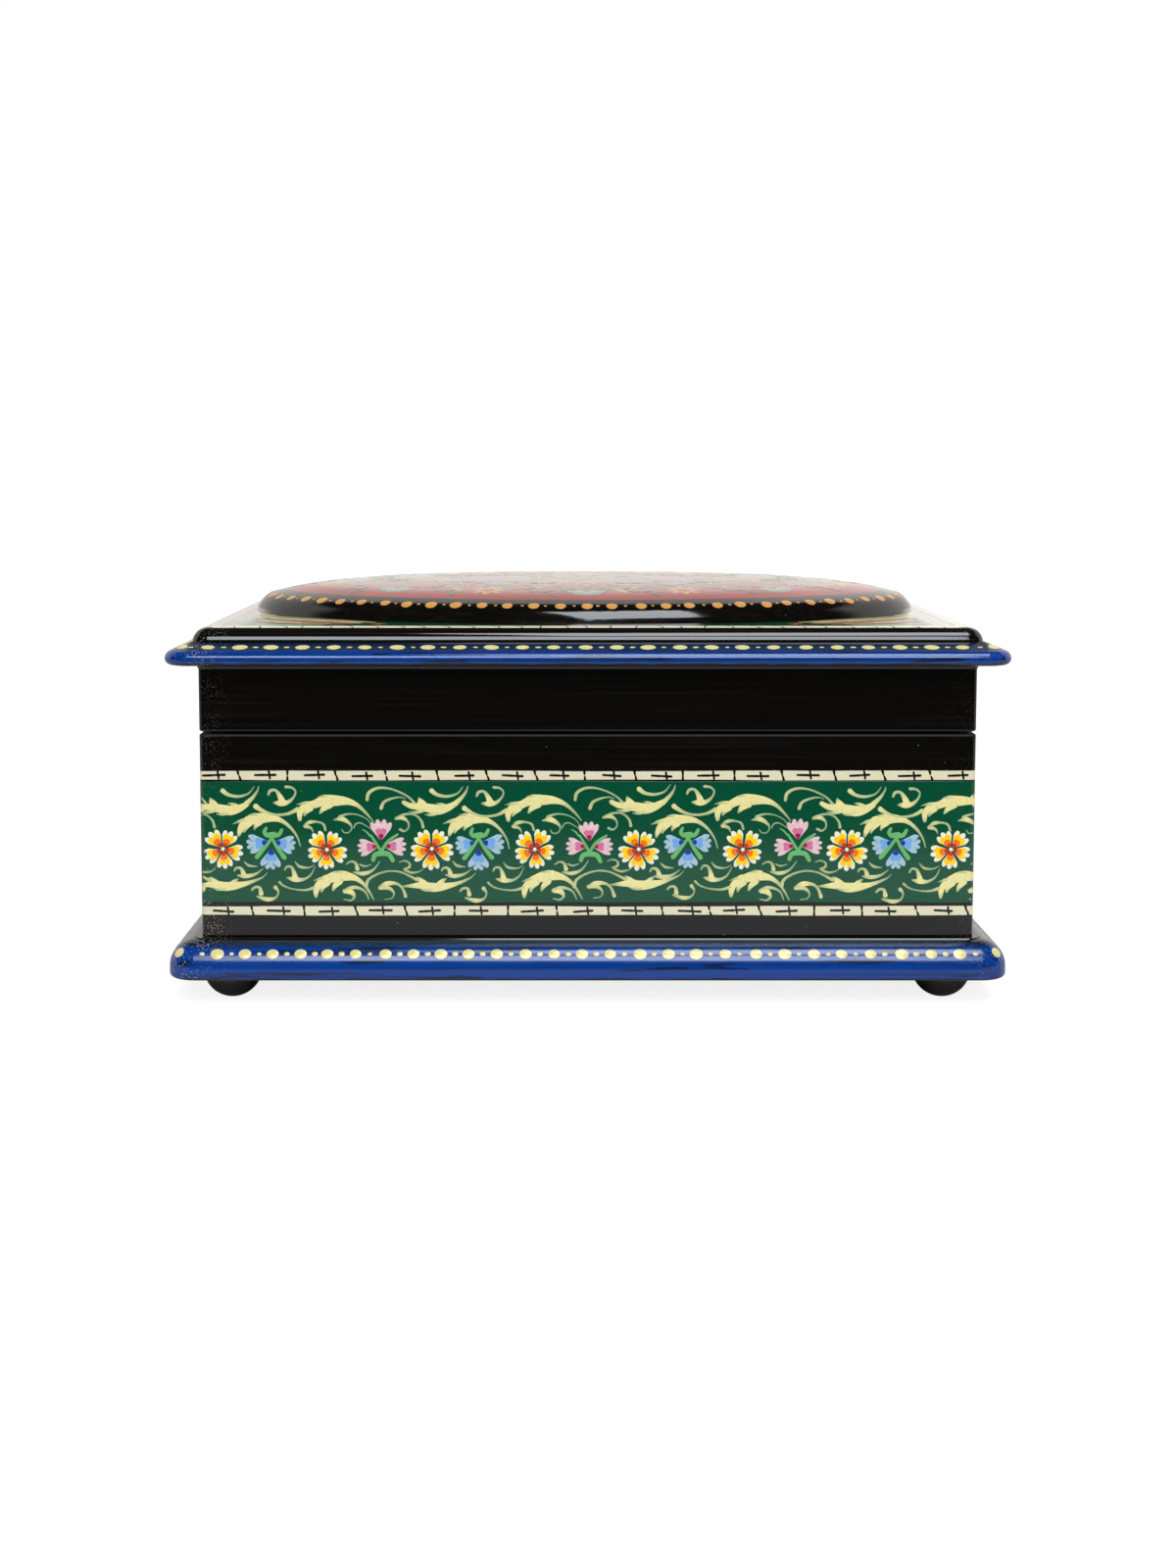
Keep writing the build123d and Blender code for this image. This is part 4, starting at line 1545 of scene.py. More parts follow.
@dataclass(frozen=True)
class RimLine:
    """A line of dots along a moulding: its rounded rectangle, its spacing and its dots."""

    name: str
    body: str
    seed: int
    half_length: float
    half_depth: float
    corner: float
    pitch: float
    big: tuple[float, float]
    small: tuple[float, float]
    start: float
    drift: float
    crowding: float = 0.0

    def paint(self, top: DrapedTop, finishes: Finishes) -> None:
        """Dots the moulding all the way round: large dots with a small one between each two.

        Args:
            top: The moulding's upper side.
            finishes: The materials to paint with.
        """
        piece = PaintedPiece(self.name, top, finishes, self.body, "blue_lacquer")
        hand = Hand(self.seed)

        def dot(place: Vector, along: Vector, size: tuple[float, float], swell: float = 1.0) -> None:
            """Lays one dot, given its length and height."""
            piece.surface = TangentPatch(top, place.x, place.y, along)
            outline = round_spot(size[1] / 2 * swell, 14, size[0] / size[1])
            piece.blob(outline, (0, 0), Paints.DOT, Layer.OUTLINE, Placement(turn=hand.near(0, 6)), dome=0.12)

        halves = (self.half_length, self.half_depth)
        for turns in range(4):
            half, reach = halves[turns % 2], halves[1 - turns % 2]
            along = Vector(((1, 0, -1, 0)[turns], (0, 1, 0, -1)[turns], 0))
            out = Vector((along.y, -along.x, 0))
            flat = half - self.corner
            count = int((flat - 1.5) // self.pitch)
            for index in range(-count, count + 1):
                crowding = self.crowding * ((index / count) ** 2 - 1)
                u = hand.near(self.start + index * self.pitch + crowding, self.drift)
                dot(along * u + out * reach, along, self.big, hand.near(1.0, 0.09))
                if index < count:
                    u += self.pitch / 2
                    swell = hand.near(self.small[1], self.small[1] * 0.2) / self.small[1]
                    dot(along * u + out * reach, along, self.small, swell)
            turn = (along + out).normalized()
            middle = along * flat + out * (reach - self.corner) + turn * self.corner
            dot(middle, (along - out).normalized(), self.big)
            for way in (1, -1):
                u = self.start + way * (count + 0.55) * self.pitch
                if abs(u) < half - self.big[0] * 0.6:
                    dot(along * u + out * reach, along, self.small)
        piece.build()


@dataclass
class LidPainting:
    """The painting on the lid: dotted dome, red field of flowers, green spandrels and ticked edge line."""

    finishes: Finishes
    top: DrapedTop
    dome_half_length: float = 112.8
    dome_half_depth: float = 69.7
    red_inset: float = 9.6
    dot_inset: float = 4.4
    dot_count: int = 134
    plate_half_length: float = 115.4
    plate_half_depth: float = 77.4
    tick_pitch: float = 7.3

    def ellipse(self, inset: float) -> tuple[float, float]:
        """Gives the half length and half depth of the dome's outline at an inset."""
        spread = self.dome_half_length - self.dome_half_depth
        across = inset / self.dome_half_depth
        return (self.dome_half_length - inset - spread * across * across, self.dome_half_depth - inset)

    def ring(self, inset: float, count: int, start: float = -90.0) -> list[tuple[float, float, float]]:
        """Spaces points evenly round the dome at an inset.

        Args:
            inset: How far in from the dome's edge.
            count: How many points.
            start: Where the first one is, in degrees.

        Returns:
            For each point its place and the direction along the ring in degrees.
        """
        long_half, short_half = self.ellipse(inset)
        fine = 1440
        angles = [math.radians(start) + 2 * math.pi * index / fine for index in range(fine + 1)]
        places = [(long_half * math.cos(angle), short_half * math.sin(angle)) for angle in angles]
        travelled = [0.0]
        for before, after in pairwise(places):
            travelled.append(travelled[-1] + math.dist(before, after))
        found = []
        index = 0
        for order in range(count):
            wanted = travelled[-1] * order / count
            while travelled[index + 1] < wanted:
                index += 1
            (x0, y0), (x1, y1) = places[index], places[index + 1]
            found.append((x0, y0, math.degrees(math.atan2(y1 - y0, x1 - x0))))
        return found

    def paint(self) -> None:
        """Paints the lid's top."""
        self._dome_dots()
        self._dome_flowers()
        self._plate_ground()
        self._spandrels()

    def _dome_dots(self) -> None:
        """Dots the black edge of the dome in orange gold."""
        piece = PaintedPiece("dome_edge_dots", self.top, self.finishes, "lid", "painted_red_lacquer")
        hand = Hand(SEED + 20)
        for order, (x, y, way) in enumerate(self.ring(self.dot_inset, self.dot_count)):
            along = Vector((*toward(way, 1.0), 0))
            size, stretch = (0.85, 1.2) if order % 2 else (3.5, 1.06)
            x, y = x + along.x * hand.near(0, 0.5), y + along.y * hand.near(0, 0.5)
            piece.surface = TangentPatch(self.top, x, y, along)
            outline = round_spot(hand.near(size, size * 0.1) / 2, 12, stretch)
            place = Placement(turn=hand.near(0, 8))
            piece.blob(outline, (0, 0), Paints.GOLD_DOT, Layer.BODY, place, dome=0.10)
        piece.build()

    def _dome_flowers(self) -> None:
        """Fills the red field with a middle medallion, two garlands and scattered leaves."""
        piece = PaintedPiece("dome_flowers", self.top, self.finishes, "lid", "painted_red_lacquer")
        hand = Hand(SEED + 32)
        garden = GardenMotifs(piece, hand)
        for inset, count in ((24.0, 48), (33.0, 40), (44.0, 32), (54.0, 22)):
            for order, (x, y, way) in enumerate(self.ring(inset, count, -84.0)):
                paint = Paints.OLD_LEAF if order % 3 else Paints.OLD_CREAM
                place = Placement(x, y, hand.near(way + (60 if order % 2 else -60), 25))
                leaf = leaf_shape(0, 8.0, 3.0, 0.0)
                piece.blob(leaf, (4.0, 0), paint, Layer.PANEL, place, hand.near(0.7, 0.3), 0.0)
        for order, (x, y, way) in enumerate(self.ring(20.5, 14)):
            place = Placement(x, y, way)
            garden.flower(place, 1.0, gold=bool(order % 2))
            garden.leaf_pair(place)
        for order, (x, y, way) in enumerate(self.ring(34.0, 12)):
            garden.flower(Placement(x, y, way), 0.9, gold=not order % 2)
            garden.trailing_stem(Placement(x, y, way + 180))
        garden.medallion()
        piece.build()

    def _plate_ground(self) -> None:
        """Lays the green ground round the dome and the cream edge line with its ticks."""
        piece = PaintedPiece("plate_ground", self.top, self.finishes, "lid", "painted_green_lacquer")
        hand = Hand(SEED + 40)
        piece.sheet(self._spandrel_rows(hand), Paints.GREEN, Layer.PANEL, closed=True)
        halves = (self.plate_half_length, self.plate_half_depth)
        corners = ((-1, -1), (1, -1), (1, 1), (-1, 1), (-1, -1))
        edges = list(pairwise(corners))
        line_rows: list[list[Point]] = []
        for out in (-2.3, -0.9, 0.5, 1.0, 1.5, 2.0):
            row: list[Point] = []
            for (x0, y0), (x1, y1) in edges:
                for share in (index / 60 for index in range(60)):
                    drift = hand.wander(share * halves[0], 0.06)
                    x, y = x0 + (x1 - x0) * share, y0 + (y1 - y0) * share
                    row.append((x * (halves[0] + out + drift), y * (halves[1] + out + drift)))
            line_rows.append(row)
        piece.sheet(line_rows, Paints.CREAM, Layer.OUTLINE, closed=True)
        for (x0, y0), (x1, y1) in edges:
            run = math.hypot((x1 - x0) * halves[0], (y1 - y0) * halves[1])
            along = ((x1 - x0) / 2, (y1 - y0) / 2)
            across = (along[1], -along[0])
            count = round(run / self.tick_pitch)
            for index in range(1, count):
                share = hand.near(index / count, 0.003)
                x, y = (x0 + (x1 - x0) * share) * halves[0], (y0 + (y1 - y0) * share) * halves[1]
                lean = hand.near(0.3, 0.6)
                way = (across[0] + along[0] * lean, across[1] + along[1] * lean)
                tick = [(x + way[0] * reach, y + way[1] * reach, 0.5) for reach in (-1.7, 0.1, 1.9)]
                piece.stroke(tick, Paints.BLACK, Layer.BODY, load=1.0, dome=0.01)
        piece.build()

    def _spandrel_rows(self, hand: Hand) -> list[list[Point]]:
        """Runs the green ground's rows from the dome's foot out to the edge line, and returns them."""
        inner = (self.dome_half_length + 1.3, self.dome_half_depth + 2.4)
        outer = (self.plate_half_length - 2.6, self.plate_half_depth - 2.6)
        inside: list[Point] = []
        outside: list[Point] = []
        for index in range(360):
            cosine, sine = toward(index, 1.0)
            near = 1 / math.hypot(cosine / inner[0], sine / inner[1])
            far = min(outer[0] / max(abs(cosine), 1e-6), outer[1] / max(abs(sine), 1e-6))
            near = min(near + hand.wander(index, 0.08), far - 0.15)
            inside.append((near * cosine, near * sine))
            outside.append((far * cosine, far * sine))
        pairs = list(zip(inside, outside, strict=True))
        return [
            [(a[0] + (b[0] - a[0]) * share, a[1] + (b[1] - a[1]) * share) for a, b in pairs]
            for share in (0.0, 0.33, 0.67, 1.0)
        ]

    def _spandrels(self) -> None:
        """Paints a flower and spreading leaves in each corner of the plate."""
        piece = PaintedPiece("spandrel_flowers", self.top, self.finishes, "lid", "painted_green_lacquer")
        garden = GardenMotifs(piece, Hand(SEED + 52))
        for mirror in (False, True):
            for flip in (False, True):
                garden.spandrel(Placement(mirror=mirror, flip=flip))
        piece.build()


class Spandrels:
    """The strokes of one corner of the plate, drawn for its front left corner."""

    UPPER = (
        (
            (-105, -35, 2.0), (-100, -42.5, 6.4), (-92, -49.0, 7.6), (-83, -54.0, 7.0), (-74, -58.5, 5.0),
            (-66.5, -62.5, 1.0),
        ),
        ((-106, -46, 1.0), (-103, -38, 4.6), (-106, -30, 3.2), (-110, -21, 0.6)),
    )
    LOWER = (
        ((-107, -45, 1.5), (-99, -52.5, 5.0), (-90, -58.5, 5.6), (-80, -63.0, 5.0), (-70, -66.8, 1.2)),
        ((-106, -56, 1.5), (-97, -62.5, 4.6), (-87, -66.5, 4.2), (-76, -69.6, 1.0)),
    )
    OUTER = (
        ((-109, -64, 1.0), (-101, -69.0, 3.2), (-91, -71.5, 2.8), (-82, -72.6, 0.8)),
        ((-109.5, -58, 1.0), (-111, -49, 2.6), (-112, -40, 0.8)),
    )
    FINS = (
        ((-101, -45.0, 2.6), (-95, -52.5, 2.2), (-88, -55.5, 0.4)),
        ((-92, -51.5, 2.4), (-86, -57.5, 2.0), (-79, -60.0, 0.4)),
        ((-83, -56.5, 2.2), (-77, -61.5, 1.8), (-71, -63.5, 0.4)),
        ((-104, -54.0, 1.6), (-97, -58.5, 1.8), (-90, -62.5, 0.4)),
        ((-98, -61.0, 1.4), (-89, -64.5, 1.6), (-80, -67.5, 0.4)),
    )
    VEINS = (
        ((-104, -38, 0.4), (-97, -46.5, 0.8), (-88, -52.0, 0.8), (-78, -57.0, 0.7), (-68, -61.6, 0.3)),
        ((-106, -48, 0.6), (-97, -55.5, 1.5), (-87, -61.0, 1.5), (-75, -65.6, 0.4)),
        ((-105, -52, 0.5), (-96, -59.0, 1.0), (-86, -63.6, 1.0), (-74, -67.6, 0.3)),
        ((-104, -59, 0.5), (-95, -65.0, 1.0), (-85, -68.2, 0.9), (-77, -70.2, 0.3)),
    )
    BLOSSOM = (-64.8, -68.2)


@dataclass(frozen=True)
class GardenMotifs:
    """The leaves and flowers of the lid, drawn from the common stock of garland painting."""

    piece: PaintedPiece
    hand: Hand

    def _leaf(
        self,
        shape: tuple[float, float, float, float],
        reach: float,
        paint: Paint,
        layer: Layer,
        place: Placement,
        root: Point = (0.0, 0.0),
        load: float = 1.0,
    ) -> None:
        """Paints one leaf from its root, given its direction, reach, width and start."""
        middle = toward(shape[0], reach)
        outline = shifted(leaf_shape(*shape), *root)
        self.piece.blob(outline, (root[0] + middle[0], root[1] + middle[1]), paint, layer, place, load)

    def flower(self, place: Placement, size: float, gold: bool) -> None:
        """Paints a gold flower with pointed petals, or a pale one seen from the side."""
        spot = self.piece.blob
        if gold:
            sized = Placement(place.u, place.v, place.turn, place.scale * size)
            for way in range(0, 360, 45):
                self._leaf((way, 6.2, 2.5, 0.6), 3.2, Paints.OLD_GOLD, Layer.OUTLINE, sized)
                self._leaf((way, 3.8, 1.3, 0.6), 2.2, Paints.OLD_ORANGE, Layer.BODY, sized)
            spot(round_spot(1.3), (0, 0), Paints.BROWN, Layer.SHADE, sized)
            spot(round_spot(0.5), (0, 0), Paints.OLD_CREAM, Layer.CORE, sized)
            return
        sized = Placement(place.u, place.v, place.turn + 180, place.scale * size)
        for way in (18, 54, 90, 126, 162):
            spot(lobed_petal(way, 6.6, 4.4), toward(way, 4.0), Paints.OLD_BLUE, Layer.OUTLINE, sized)
            self._leaf((way, 4.6, 1.9, 0.5), 2.4, Paints.OLD_CREAM, Layer.BODY, sized)
        spot(round_spot(1.5), (0, 0), Paints.OLD_LEAF, Layer.SHADE, sized)
        for way in (-150, -30):
            self._leaf((way, 7.0, 2.0, 1.0), 4.0, Paints.OLD_LEAF, Layer.OUTLINE, sized)

    def leaf_pair(self, place: Placement) -> None:
        """Paints a green stem to the next flower with a leaf on each side and a yellow bud."""
        points = ((6.0, 0.5), (10.5, 2.2), (15.4, 0.2), (20.0, -1.8), (24.5, -0.4))
        stem = scaled(points, (0.5, 0.7, 0.8, 0.7, 0.5))
        self.piece.stroke(stem, Paints.OLD_LEAF, Layer.PANEL, place, load=0.7)
        for x, y, way, reach in (
            (11.0, 2.0, 55, 5.4), (13.0, 1.6, -50, 5.0), (18.0, -1.2, 50, 5.0), (20.5, -1.7, -55, 5.2),
        ):
            outline = shifted(leaf_shape(self.hand.near(way, 8), reach, 1.9, 0.2), x, y)
            middle, load = toward(way, reach / 2), self.hand.near(0.7, 0.3)
            centre = (x + middle[0], y + middle[1])
            self.piece.blob(outline, centre, Paints.OLD_LEAF, Layer.OUTLINE, place, load)
        self._leaf((90, 3.4, 1.8, -0.4), 1.5, Paints.OLD_CREAM, Layer.BODY, place, (15.5, 3.6))

    def trailing_stem(self, place: Placement) -> None:
        """Paints a curling cream and green stem between two inner flowers."""
        for side in (-1, 1):
            points = ((6.5, 0.5), (9.5, 4.0), (13.0, 3.6), (13.2, 0.4), (10.6, 0.2))
            curl = scaled(((side * x, y) for x, y in points), (0.5, 1.0, 1.6, 1.1, 0.6))
            self.piece.stroke(curl, Paints.OLD_CREAM, Layer.OUTLINE, place)
            x, y = side * 10.0, -3.2
            outline = shifted(leaf_shape(self.hand.near(90 - side * 60, 6), 6.0, 2.0, -1.0), x, y)
            middle = toward(90 - side * 60, 2.5)
            centre = (x + middle[0], y + middle[1])
            self.piece.blob(outline, centre, Paints.OLD_LEAF, Layer.OUTLINE, place, 0.8)

    def medallion(self) -> None:
        """Paints the large flower in the middle of the dome with its wreath of leaves."""
        middle = Placement()
        for way in range(15, 375, 30):
            self._leaf((way, 21.0, 4.4, 9.0), 15, Paints.OLD_LEAF, Layer.PANEL, middle, load=0.7)
        for way in range(0, 360, 45):
            petal = lobed_petal(way, 14.0, 10.5)
            self.piece.blob(petal, toward(way, 9), Paints.OLD_CREAM, Layer.OUTLINE, middle)
            self._leaf((way, 11.0, 5.6, 1.0), 6, Paints.OLD_ORANGE, Layer.BODY, middle)
            self._leaf((way, 7.6, 3.0, 1.0), 4, Paints.CRIMSON, Layer.SHADE, middle)
        self.piece.blob(round_spot(2.6, 18), (0, 0), Paints.YELLOW, Layer.CORE, middle)
        for way in range(0, 360, 45):
            spot = toward(way + 22.5, 16.5)
            self.piece.blob(shifted(round_spot(0.9), *spot), spot, Paints.DOT, Layer.SHADE, middle)
        for side in (-1, 1):
            for reach, turn in ((30.0, 0.0), (43.0, 12.0)):
                self.flower(Placement(side * reach, 0, turn), 0.75, gold=True)
            for flip in (1, -1):
                points = ((21, 2.0), (28, 6.5), (36, 4.5), (44, 6.5), (52, 2.0))
                vine = scaled(((side * x, flip * y) for x, y in points), (0.6, 0.9, 0.9, 0.9, 0.5))
                self.piece.stroke(vine, Paints.OLD_LEAF, Layer.PANEL, middle, load=0.8)

    def spandrel(self, place: Placement) -> None:
        """Paints one corner of the plate: banks of veined leaves and a small red flower.

        Args:
            place: How the corner is mirrored.
        """
        for leaves, paint in (
            (Spandrels.UPPER, Paints.DOT), (Spandrels.LOWER, Paints.TAN), (Spandrels.OUTER, Paints.SEPAL),
        ):
            for leaf in leaves:
                self.piece.stroke(leaf, paint, Layer.OUTLINE, place, load=self.hand.near(0.85, 0.1))
        for fin in Spandrels.FINS:
            self.piece.stroke(fin, Paints.SCROLL, Layer.BODY, place, load=0.9)
        for vein in Spandrels.VEINS:
            self.piece.stroke(vein, Paints.BROWN, Layer.SHADE, place, load=1.0)
        for way in range(0, 360, 72):
            self._leaf((way, 2.5, 1.8, 0.0), 1.2, Paints.RED, Layer.BODY, place, Spandrels.BLOSSOM)
        eye = shifted(round_spot(0.6), *Spandrels.BLOSSOM)
        self.piece.blob(eye, Spandrels.BLOSSOM, Paints.YELLOW, Layer.SHADE, place)


@dataclass
class Lining:
    """The red velvet cards inside the box and the lid."""

    finishes: Finishes
    box_cards: tuple[str, ...] = (
        "floor_lining", "front_wall_lining", "back_wall_lining", "left_wall_lining", "right_wall_lining",
    )
    lid_card: str = "lid_lining"
    edge_radius: float = 0.35
    face_size: float = 3.0
    pile_dip: float = 0.03
    deepest_dip: float = 0.12

    def dress(self) -> None:
        """Replaces each card with a soft edged velvet one."""
        material = self.finishes.velvet(Velvet())
        for order, node in enumerate(self.box_cards):
            self._card(node, "box", material, order)
        self._card(self.lid_card, "lid", material, len(self.box_cards))

    def _card(self, node: str, body: str, material: Material, order: int) -> None:
        """Builds one card: rounded edges and a gently uneven pile."""
        low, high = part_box(node)
        size = high - low
        centre = (high + low) / 2
        shape = bmesh.new()
        bmesh.ops.create_cube(shape, size=1.0)
        bmesh.ops.scale(shape, vec=size, verts=shape.verts)
        radius = self.edge_radius * MM
        bmesh.ops.bevel(shape, geom=shape.edges[:], offset=radius, segments=3, profile=0.5, affect="EDGES")
        thin = min(range(3), key=lambda axis: size[axis])
        wide = [axis for axis in range(3) if axis != thin]
        for axis in wide:
            cuts = max(4, round(size[axis] / (self.face_size * MM)))
            way = Vector([float(other == axis) for other in range(3)])
            for index in range(1, cuts):
                everything = shape.verts[:] + shape.edges[:] + shape.faces[:]
                spot = way * (-size[axis] / 2 + size[axis] * index / cuts)
                bmesh.ops.bisect_plane(shape, geom=everything, plane_co=spot, plane_no=way)
        hand = Hand(SEED + 60 + order)
        for vertex in shape.verts:
            here = vertex.co / MM
            u, v = (here[axis] for axis in wide)
            dips = (hand.wander(along, self.pile_dip) for along in (u * 3.1 + v * 1.7, v * 2.3))
            dip = sum(abs(drop) for drop in dips)
            vertex.co[thin] -= math.copysign(min(dip, self.deepest_dip) * MM, vertex.co[thin])
            vertex.co += centre
        mesh = bpy.data.meshes.new(node + "_velvet")
        shape.to_mesh(mesh)
        shape.free()
        mesh.polygons.foreach_set("use_smooth", [True] * len(mesh.polygons))
        mesh.materials.append(material)
        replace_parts(stand(mesh, body), node)


@dataclass
class FootLedge:
    """The thin black ledge of lacquer and paper where the walls stand on the base board."""

    carcass: Carcass
    corner: float = 1.8
    profile: tuple[Point, ...] = ((-0.4, 0.34), (2.1, 0.34), (2.35, 0.28), (2.8, -0.22), (2.9, -0.5))
    turns: int = 8

    def build(self, material: Material) -> None:
        """Runs the ledge's section round the walls.

        Args:
            material: The ledge's lacquer.
        """
        flat_x = self.carcass.half_length / MM - self.corner
        flat_y = self.carcass.half_depth / MM - self.corner
        level = self.carcass.base_level / MM
        points: list[Vector] = []
        for out, rise in self.profile:
            for quarter, (sign_x, sign_y) in enumerate(((1, 1), (-1, 1), (-1, -1), (1, -1))):
                for step in range(self.turns + 1):
                    x, y = toward(90 * (quarter + step / self.turns), self.corner + out)
                    points.append(Vector((sign_x * flat_x + x, sign_y * flat_y + y, level + rise)) * MM)
        ring = 4 * (self.turns + 1)
        faces = [
            (row + index, row + ring + index, row + ring + (index + 1) % ring, row + (index + 1) % ring)
            for row in range(0, ring * (len(self.profile) - 1), ring)
            for index in range(ring)
        ]
        mesh = bpy.data.meshes.new("wall_foot_ledge")
        mesh.from_pydata(points, [], faces)
        mesh.materials.append(material)
        stand(mesh, "box")


@dataclass
class Lacquerwork:
    """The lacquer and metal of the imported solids: black carcass, blue mouldings, red field and brass."""

    finishes: Finishes
    carcass: Carcass
    black: LacquerZone = LacquerZone(Tones.BLACK, Tones.SOFT_BLACK)
    blue: LacquerZone = LacquerZone(Tones.BLUE, Tones.DEEP_BLUE, worn=Tones.WORN_BLUE, worn_share=0.85)
    slate: LacquerZone = LacquerZone(Tones.SLATE_BLUE, Tones.WORN_BLUE)
    polished: Gloss = Gloss(roughness=0.075, waves_mm=0.09)
    brushed: Gloss = Gloss(roughness=0.15, waves_mm=0.09)

    def dress(self, red_field: tuple[float, float]) -> None:
        """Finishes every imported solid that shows.

        Args:
            red_field: The half length and half depth of the dome's red oval, in millimetres.
        """
        ground = self.finishes.ground
        sides = ("front", "back", "left", "right")
        walls = ground("black_wall_lacquer", self.black, Gloss(), rub_level=self.carcass.wall_top)
        self._dress([f"body_{side}_wall" for side in sides], walls)
        self._dress([f"lid_{side}_rail" for side in sides], ground("black_rail_lacquer", self.black, Gloss()))
        rail, base = self.carcass.rail_top, self.carcass.base_level
        lid_edges = (
            ZoneEdge(rail + 0.9 * MM, self.blue, 0.0018),
            ZoneEdge(rail + 4.5 * MM, self.slate, 0.0005, 0.0008),
            ZoneEdge(rail + 6.5 * MM, self.black, 0.0003),
        )
        base_edges = (
            ZoneEdge(base - 10.4 * MM, self.blue, 0.0018),
            ZoneEdge(base - 1.3 * MM, self.slate, 0.0006, 0.0005),
            ZoneEdge(base - 0.3 * MM, self.black, 0.0003),
        )
        self._dress(("lid_board",), ground("blue_lid_lacquer", self.black, self.polished, lid_edges))
        self._dress(("base_board",), ground("blue_base_lacquer", self.black, self.brushed, base_edges))
        FootLedge(self.carcass).build(ground("ledge_lacquer", self.black, self.polished))
        field = [half * MM for half in red_field]
        self._dress(("lid_dome",), self.finishes.dome_field("dome_lacquer", *field))
        feet = [f"{depth}_{side}_foot" for depth in ("front", "back") for side in ("left", "right")]
        self._dress(feet, ground("foot_lacquer", self.black, Gloss(roughness=0.18)))
        brass = [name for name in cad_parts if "hinge" in name or name.endswith("_screws")]
        self._dress(brass, self.finishes.brass())

    def _dress(self, nodes: Iterable[str], material: Material) -> None:
        """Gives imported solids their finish."""
        for name in nodes:
            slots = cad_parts[name].data.materials
            slots.clear()
            slots.append(material)
            LOG.info("%s: %s", name, material.name)


# ----------------------------------------
# Studio


@dataclass(frozen=True)
class SoftBox:
    """A rectangular lamp: where it hangs, its width and height in metres and its power in watts."""

    name: str
    place: tuple[float, float, float]
    size: tuple[float, float]
    power: float


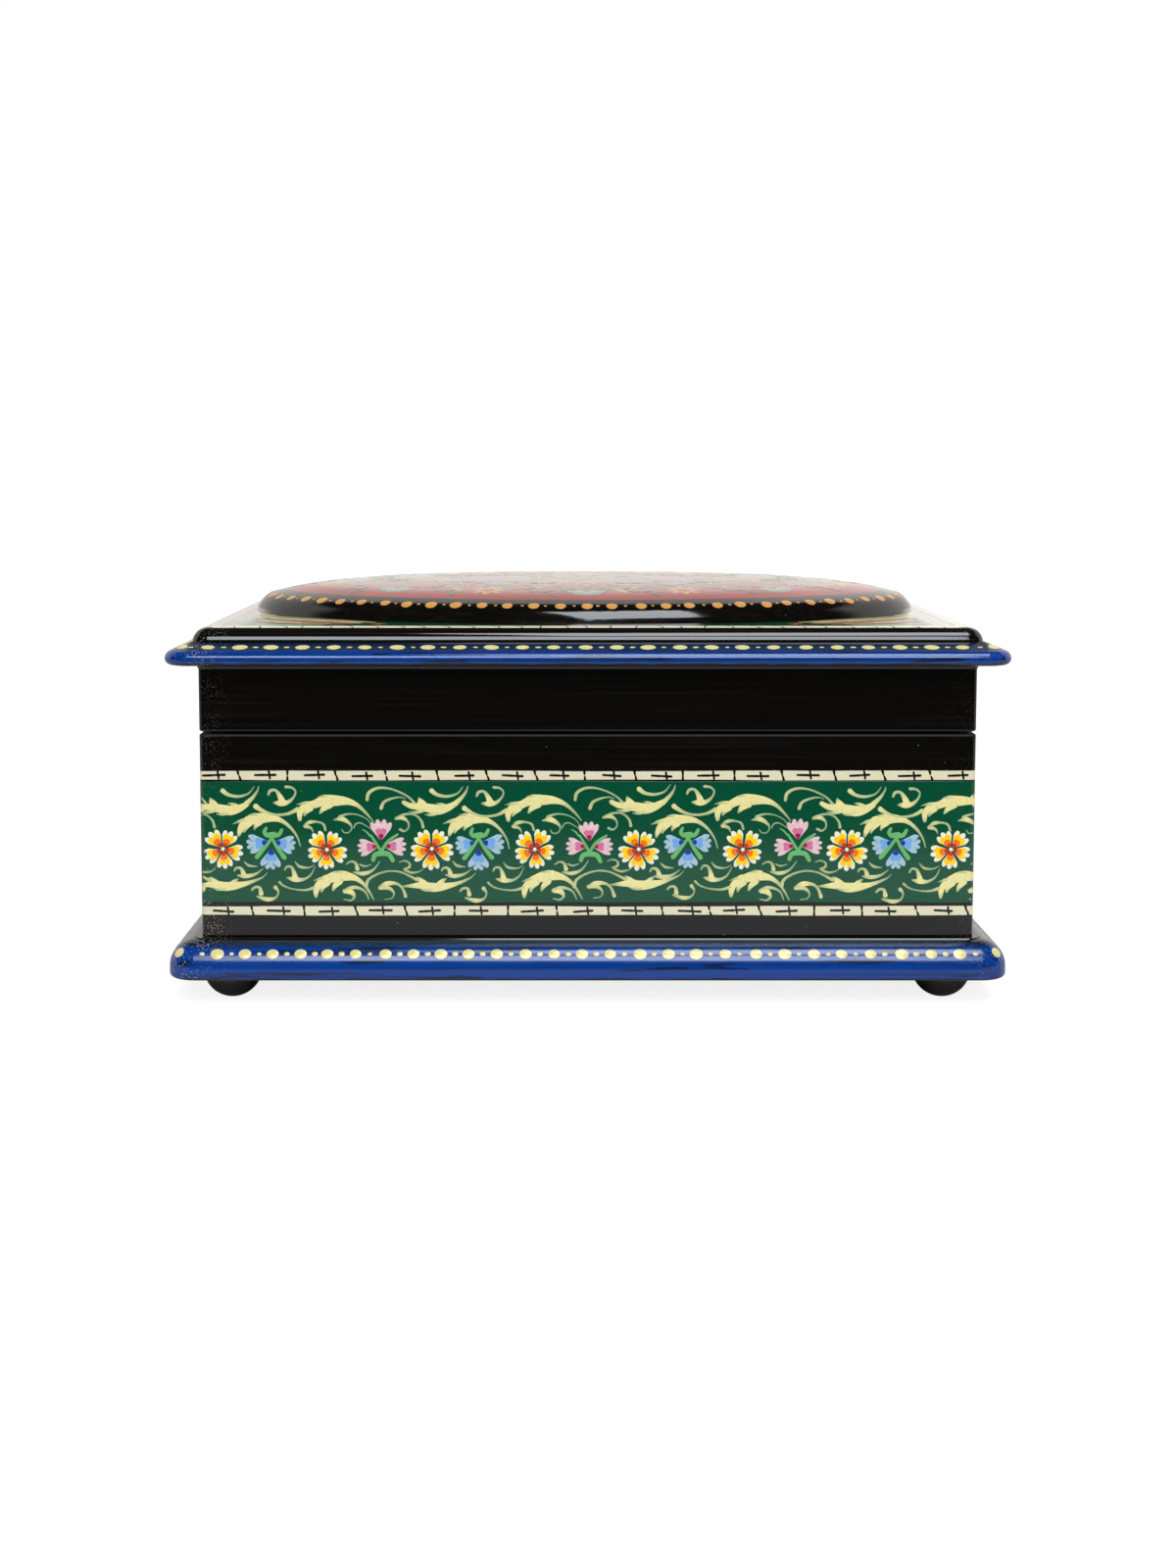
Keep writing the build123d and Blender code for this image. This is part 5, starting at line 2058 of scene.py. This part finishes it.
@dataclass
class Studio:
    """The camera, the pale floor and the soft light."""

    lens: float = 44.7
    camera_place: tuple[float, float, float] = (-0.0089, -0.671, 0.16643)
    pitch: float = -4.939
    shift: tuple[float, float] = (0.01875, -0.0983)
    floor_reach: float = 4.0
    sheet_front: float = -0.321
    bench: Colour = (0.03, 0.03, 0.03, 1.0)
    sheet: Colour = (0.62, 0.62, 0.62, 1.0)
    seen_sheet: Colour = (0.30, 0.30, 0.30, 1.0)
    sheet_glow: float = 0.835
    screen_tint: Colour = (1.0, 0.96, 0.92, 1.0)
    screen_strength: float = 0.76
    room_strength: float = 0.05
    fill_strength: float = 0.5
    lamp_aim: tuple[float, float, float] = (0.0, 0.0, 0.10)
    lamp_tint: tuple[float, float, float] = (0.90, 0.95, 1.0)
    lamps: tuple[SoftBox, ...] = (
        SoftBox("overhead_softbox", (0.235, -0.667, 1.598), (0.68, 0.66), 13.0),
        SoftBox("front_softbox", (0.02, -1.358, 1.123), (0.90, 0.66), 16.8),
    )

    def build(self) -> None:
        """Sets up everything that isn't the box."""
        bpy.context.scene.view_settings.view_transform = "Standard"
        self._camera()
        self._floor()
        self._world()
        self._lamps()

    def _camera(self) -> None:
        """Places the camera."""
        data = bpy.data.cameras.new("camera")
        data.lens = self.lens
        data.sensor_width = 36.0
        data.shift_x, data.shift_y = self.shift
        data.clip_start = 0.01
        camera = bpy.data.objects.new("camera", data)
        camera.location = self.camera_place
        camera.rotation_euler = (math.radians(90 + self.pitch), 0, 0)
        bpy.context.scene.collection.objects.link(camera)
        bpy.context.scene.camera = camera

    def _floor(self) -> None:
        """Lays a white sheet that ends in front of the box, on a dark bench that only reflections show, and
        lets the sheet glow to the camera: painted light, weakest beside the box, where it reads as painted
        shade.
        """
        mesh = bpy.data.meshes.new("floor")
        reach = self.floor_reach
        corners = [(-reach, -reach, 0), (reach, -reach, 0), (reach, reach, 0), (-reach, reach, 0)]
        mesh.from_pydata(corners, [], [(0, 1, 2, 3)])
        floor = bpy.data.objects.new("floor", mesh)
        bpy.context.scene.collection.objects.link(floor)
        material = bpy.data.materials.new("white_sheet")
        graph = Graph.cleared(material)
        mesh.materials.append(material)
        y = graph.split(graph.object_coordinates())[1]
        on_sheet = graph.ramp(y, self.sheet_front - 0.02, self.sheet_front + 0.02)
        paper, seen = graph.add("BsdfDiffuse"), graph.add("BsdfDiffuse")
        graph.link(graph.mix(on_sheet, self.bench, self.sheet), paper.inputs["Color"])
        graph.link(self.seen_sheet, seen.inputs["Color"])
        # Painted light: the sheet glows to the camera more in front of the box and far behind it, so the glow
        # is weakest beside the box, a painted shade there.
        glow = graph.add("Emission")
        ahead = graph.times(graph.ramp(y, -0.055, -0.09), 0.05)
        distant = graph.times(graph.ramp(y, 0.12, 0.6), 1.0 - self.sheet_glow)
        graph.link(graph.plus(graph.plus(ahead, distant), self.sheet_glow), glow.inputs["Strength"])
        lit, choose = graph.add("AddShader"), graph.add("MixShader")
        graph.link(seen.outputs[0], lit.inputs[0])
        graph.link(glow.outputs[0], lit.inputs[1])
        graph.link(graph.add("LightPath").outputs["Is Camera Ray"], choose.inputs[0])
        graph.link(paper.outputs[0], choose.inputs[1])
        graph.link(lit.outputs[0], choose.inputs[2])
        graph.link(choose.outputs[0], graph.add("OutputMaterial").inputs["Surface"])

    def _world(self) -> None:
        """Wraps the scene: white to the camera, and a dim room with a white screen for its gloss."""
        world = bpy.data.worlds.new("studio")
        bpy.context.scene.world = world
        graph = Graph.cleared(world)
        x, y, z = graph.split(graph.add("TexCoord").outputs["Generated"])
        low = graph.minus(1.0, graph.ramp(z, 0.66, 0.74))
        screen = graph.times(graph.ramp(y, -0.05, 0.15), low)
        left_side = graph.times(graph.ramp(x, -0.3, -0.7), 0.5)
        lifted = graph.math("MAXIMUM", graph.ramp(x, 0.12, 0.2), left_side)
        strength = graph.plus(graph.times(lifted, 1.0 - self.screen_strength), self.screen_strength)
        gloss = graph.plus(graph.times(screen, strength), self.room_strength)
        path = graph.add("LightPath").outputs
        other = graph.choose(path["Is Glossy Ray"], self.fill_strength, gloss)
        background = graph.add("Background")
        tint = graph.mix(path["Is Camera Ray"], self.screen_tint, (1.0, 1.0, 1.0, 1.0))
        graph.link(tint, background.inputs["Color"])
        graph.link(graph.math("MAXIMUM", other, path["Is Camera Ray"]), background.inputs["Strength"])
        graph.link(background.outputs[0], graph.add("OutputWorld").inputs["Surface"])

    def _lamps(self) -> None:
        """Hangs the soft boxes."""
        for box in self.lamps:
            data = bpy.data.lights.new(box.name, "AREA")
            data.shape = "RECTANGLE"
            data.size, data.size_y = box.size
            data.energy = box.power
            data.color = self.lamp_tint
            lamp = bpy.data.objects.new(box.name, data)
            lamp.location = box.place
            lamp.rotation_mode = "QUATERNION"
            way = Vector(self.lamp_aim) - Vector(box.place)
            lamp.rotation_quaternion = way.to_track_quat("-Z", "Y")
            bpy.context.scene.collection.objects.link(lamp)


LID_RIM = RimLine(
    name="lid_rim_dots",
    body="lid",
    seed=SEED + 70,
    half_length=124.0,
    half_depth=86.0,
    corner=4.1,
    pitch=9.49,
    big=(4.4, 2.9),
    small=(1.6, 0.8),
    start=-0.77,
    drift=0.25,
)
BASE_RIM = RimLine(
    name="base_rim_dots",
    body="box",
    seed=SEED + 71,
    half_length=126.92,
    half_depth=88.92,
    corner=6.9,
    pitch=8.69,
    big=(3.9, 3.3),
    small=(1.6, 1.2),
    start=0.3,
    drift=0.4,
    crowding=2.0,
)


def main() -> None:
    """Dresses the box and sets the scene."""
    logging.basicConfig(level=logging.INFO, format="%(name)s %(message)s")
    carcass = Carcass()
    finishes = Finishes(Effects(carcass))
    lid_top = DrapedTop([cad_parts["lid_board"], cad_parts["lid_dome"]])
    base_top = DrapedTop([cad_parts["base_board"]])
    lid_painting = LidPainting(finishes, lid_top)
    Lacquerwork(finishes, carcass).dress(lid_painting.ellipse(lid_painting.red_inset))
    BodyPainting(finishes, carcass).paint()
    lid_painting.paint()
    LID_RIM.paint(lid_top, finishes)
    BASE_RIM.paint(base_top, finishes)
    Lining(finishes).dress()
    Studio().build()


if __name__ == "__main__":
    main()
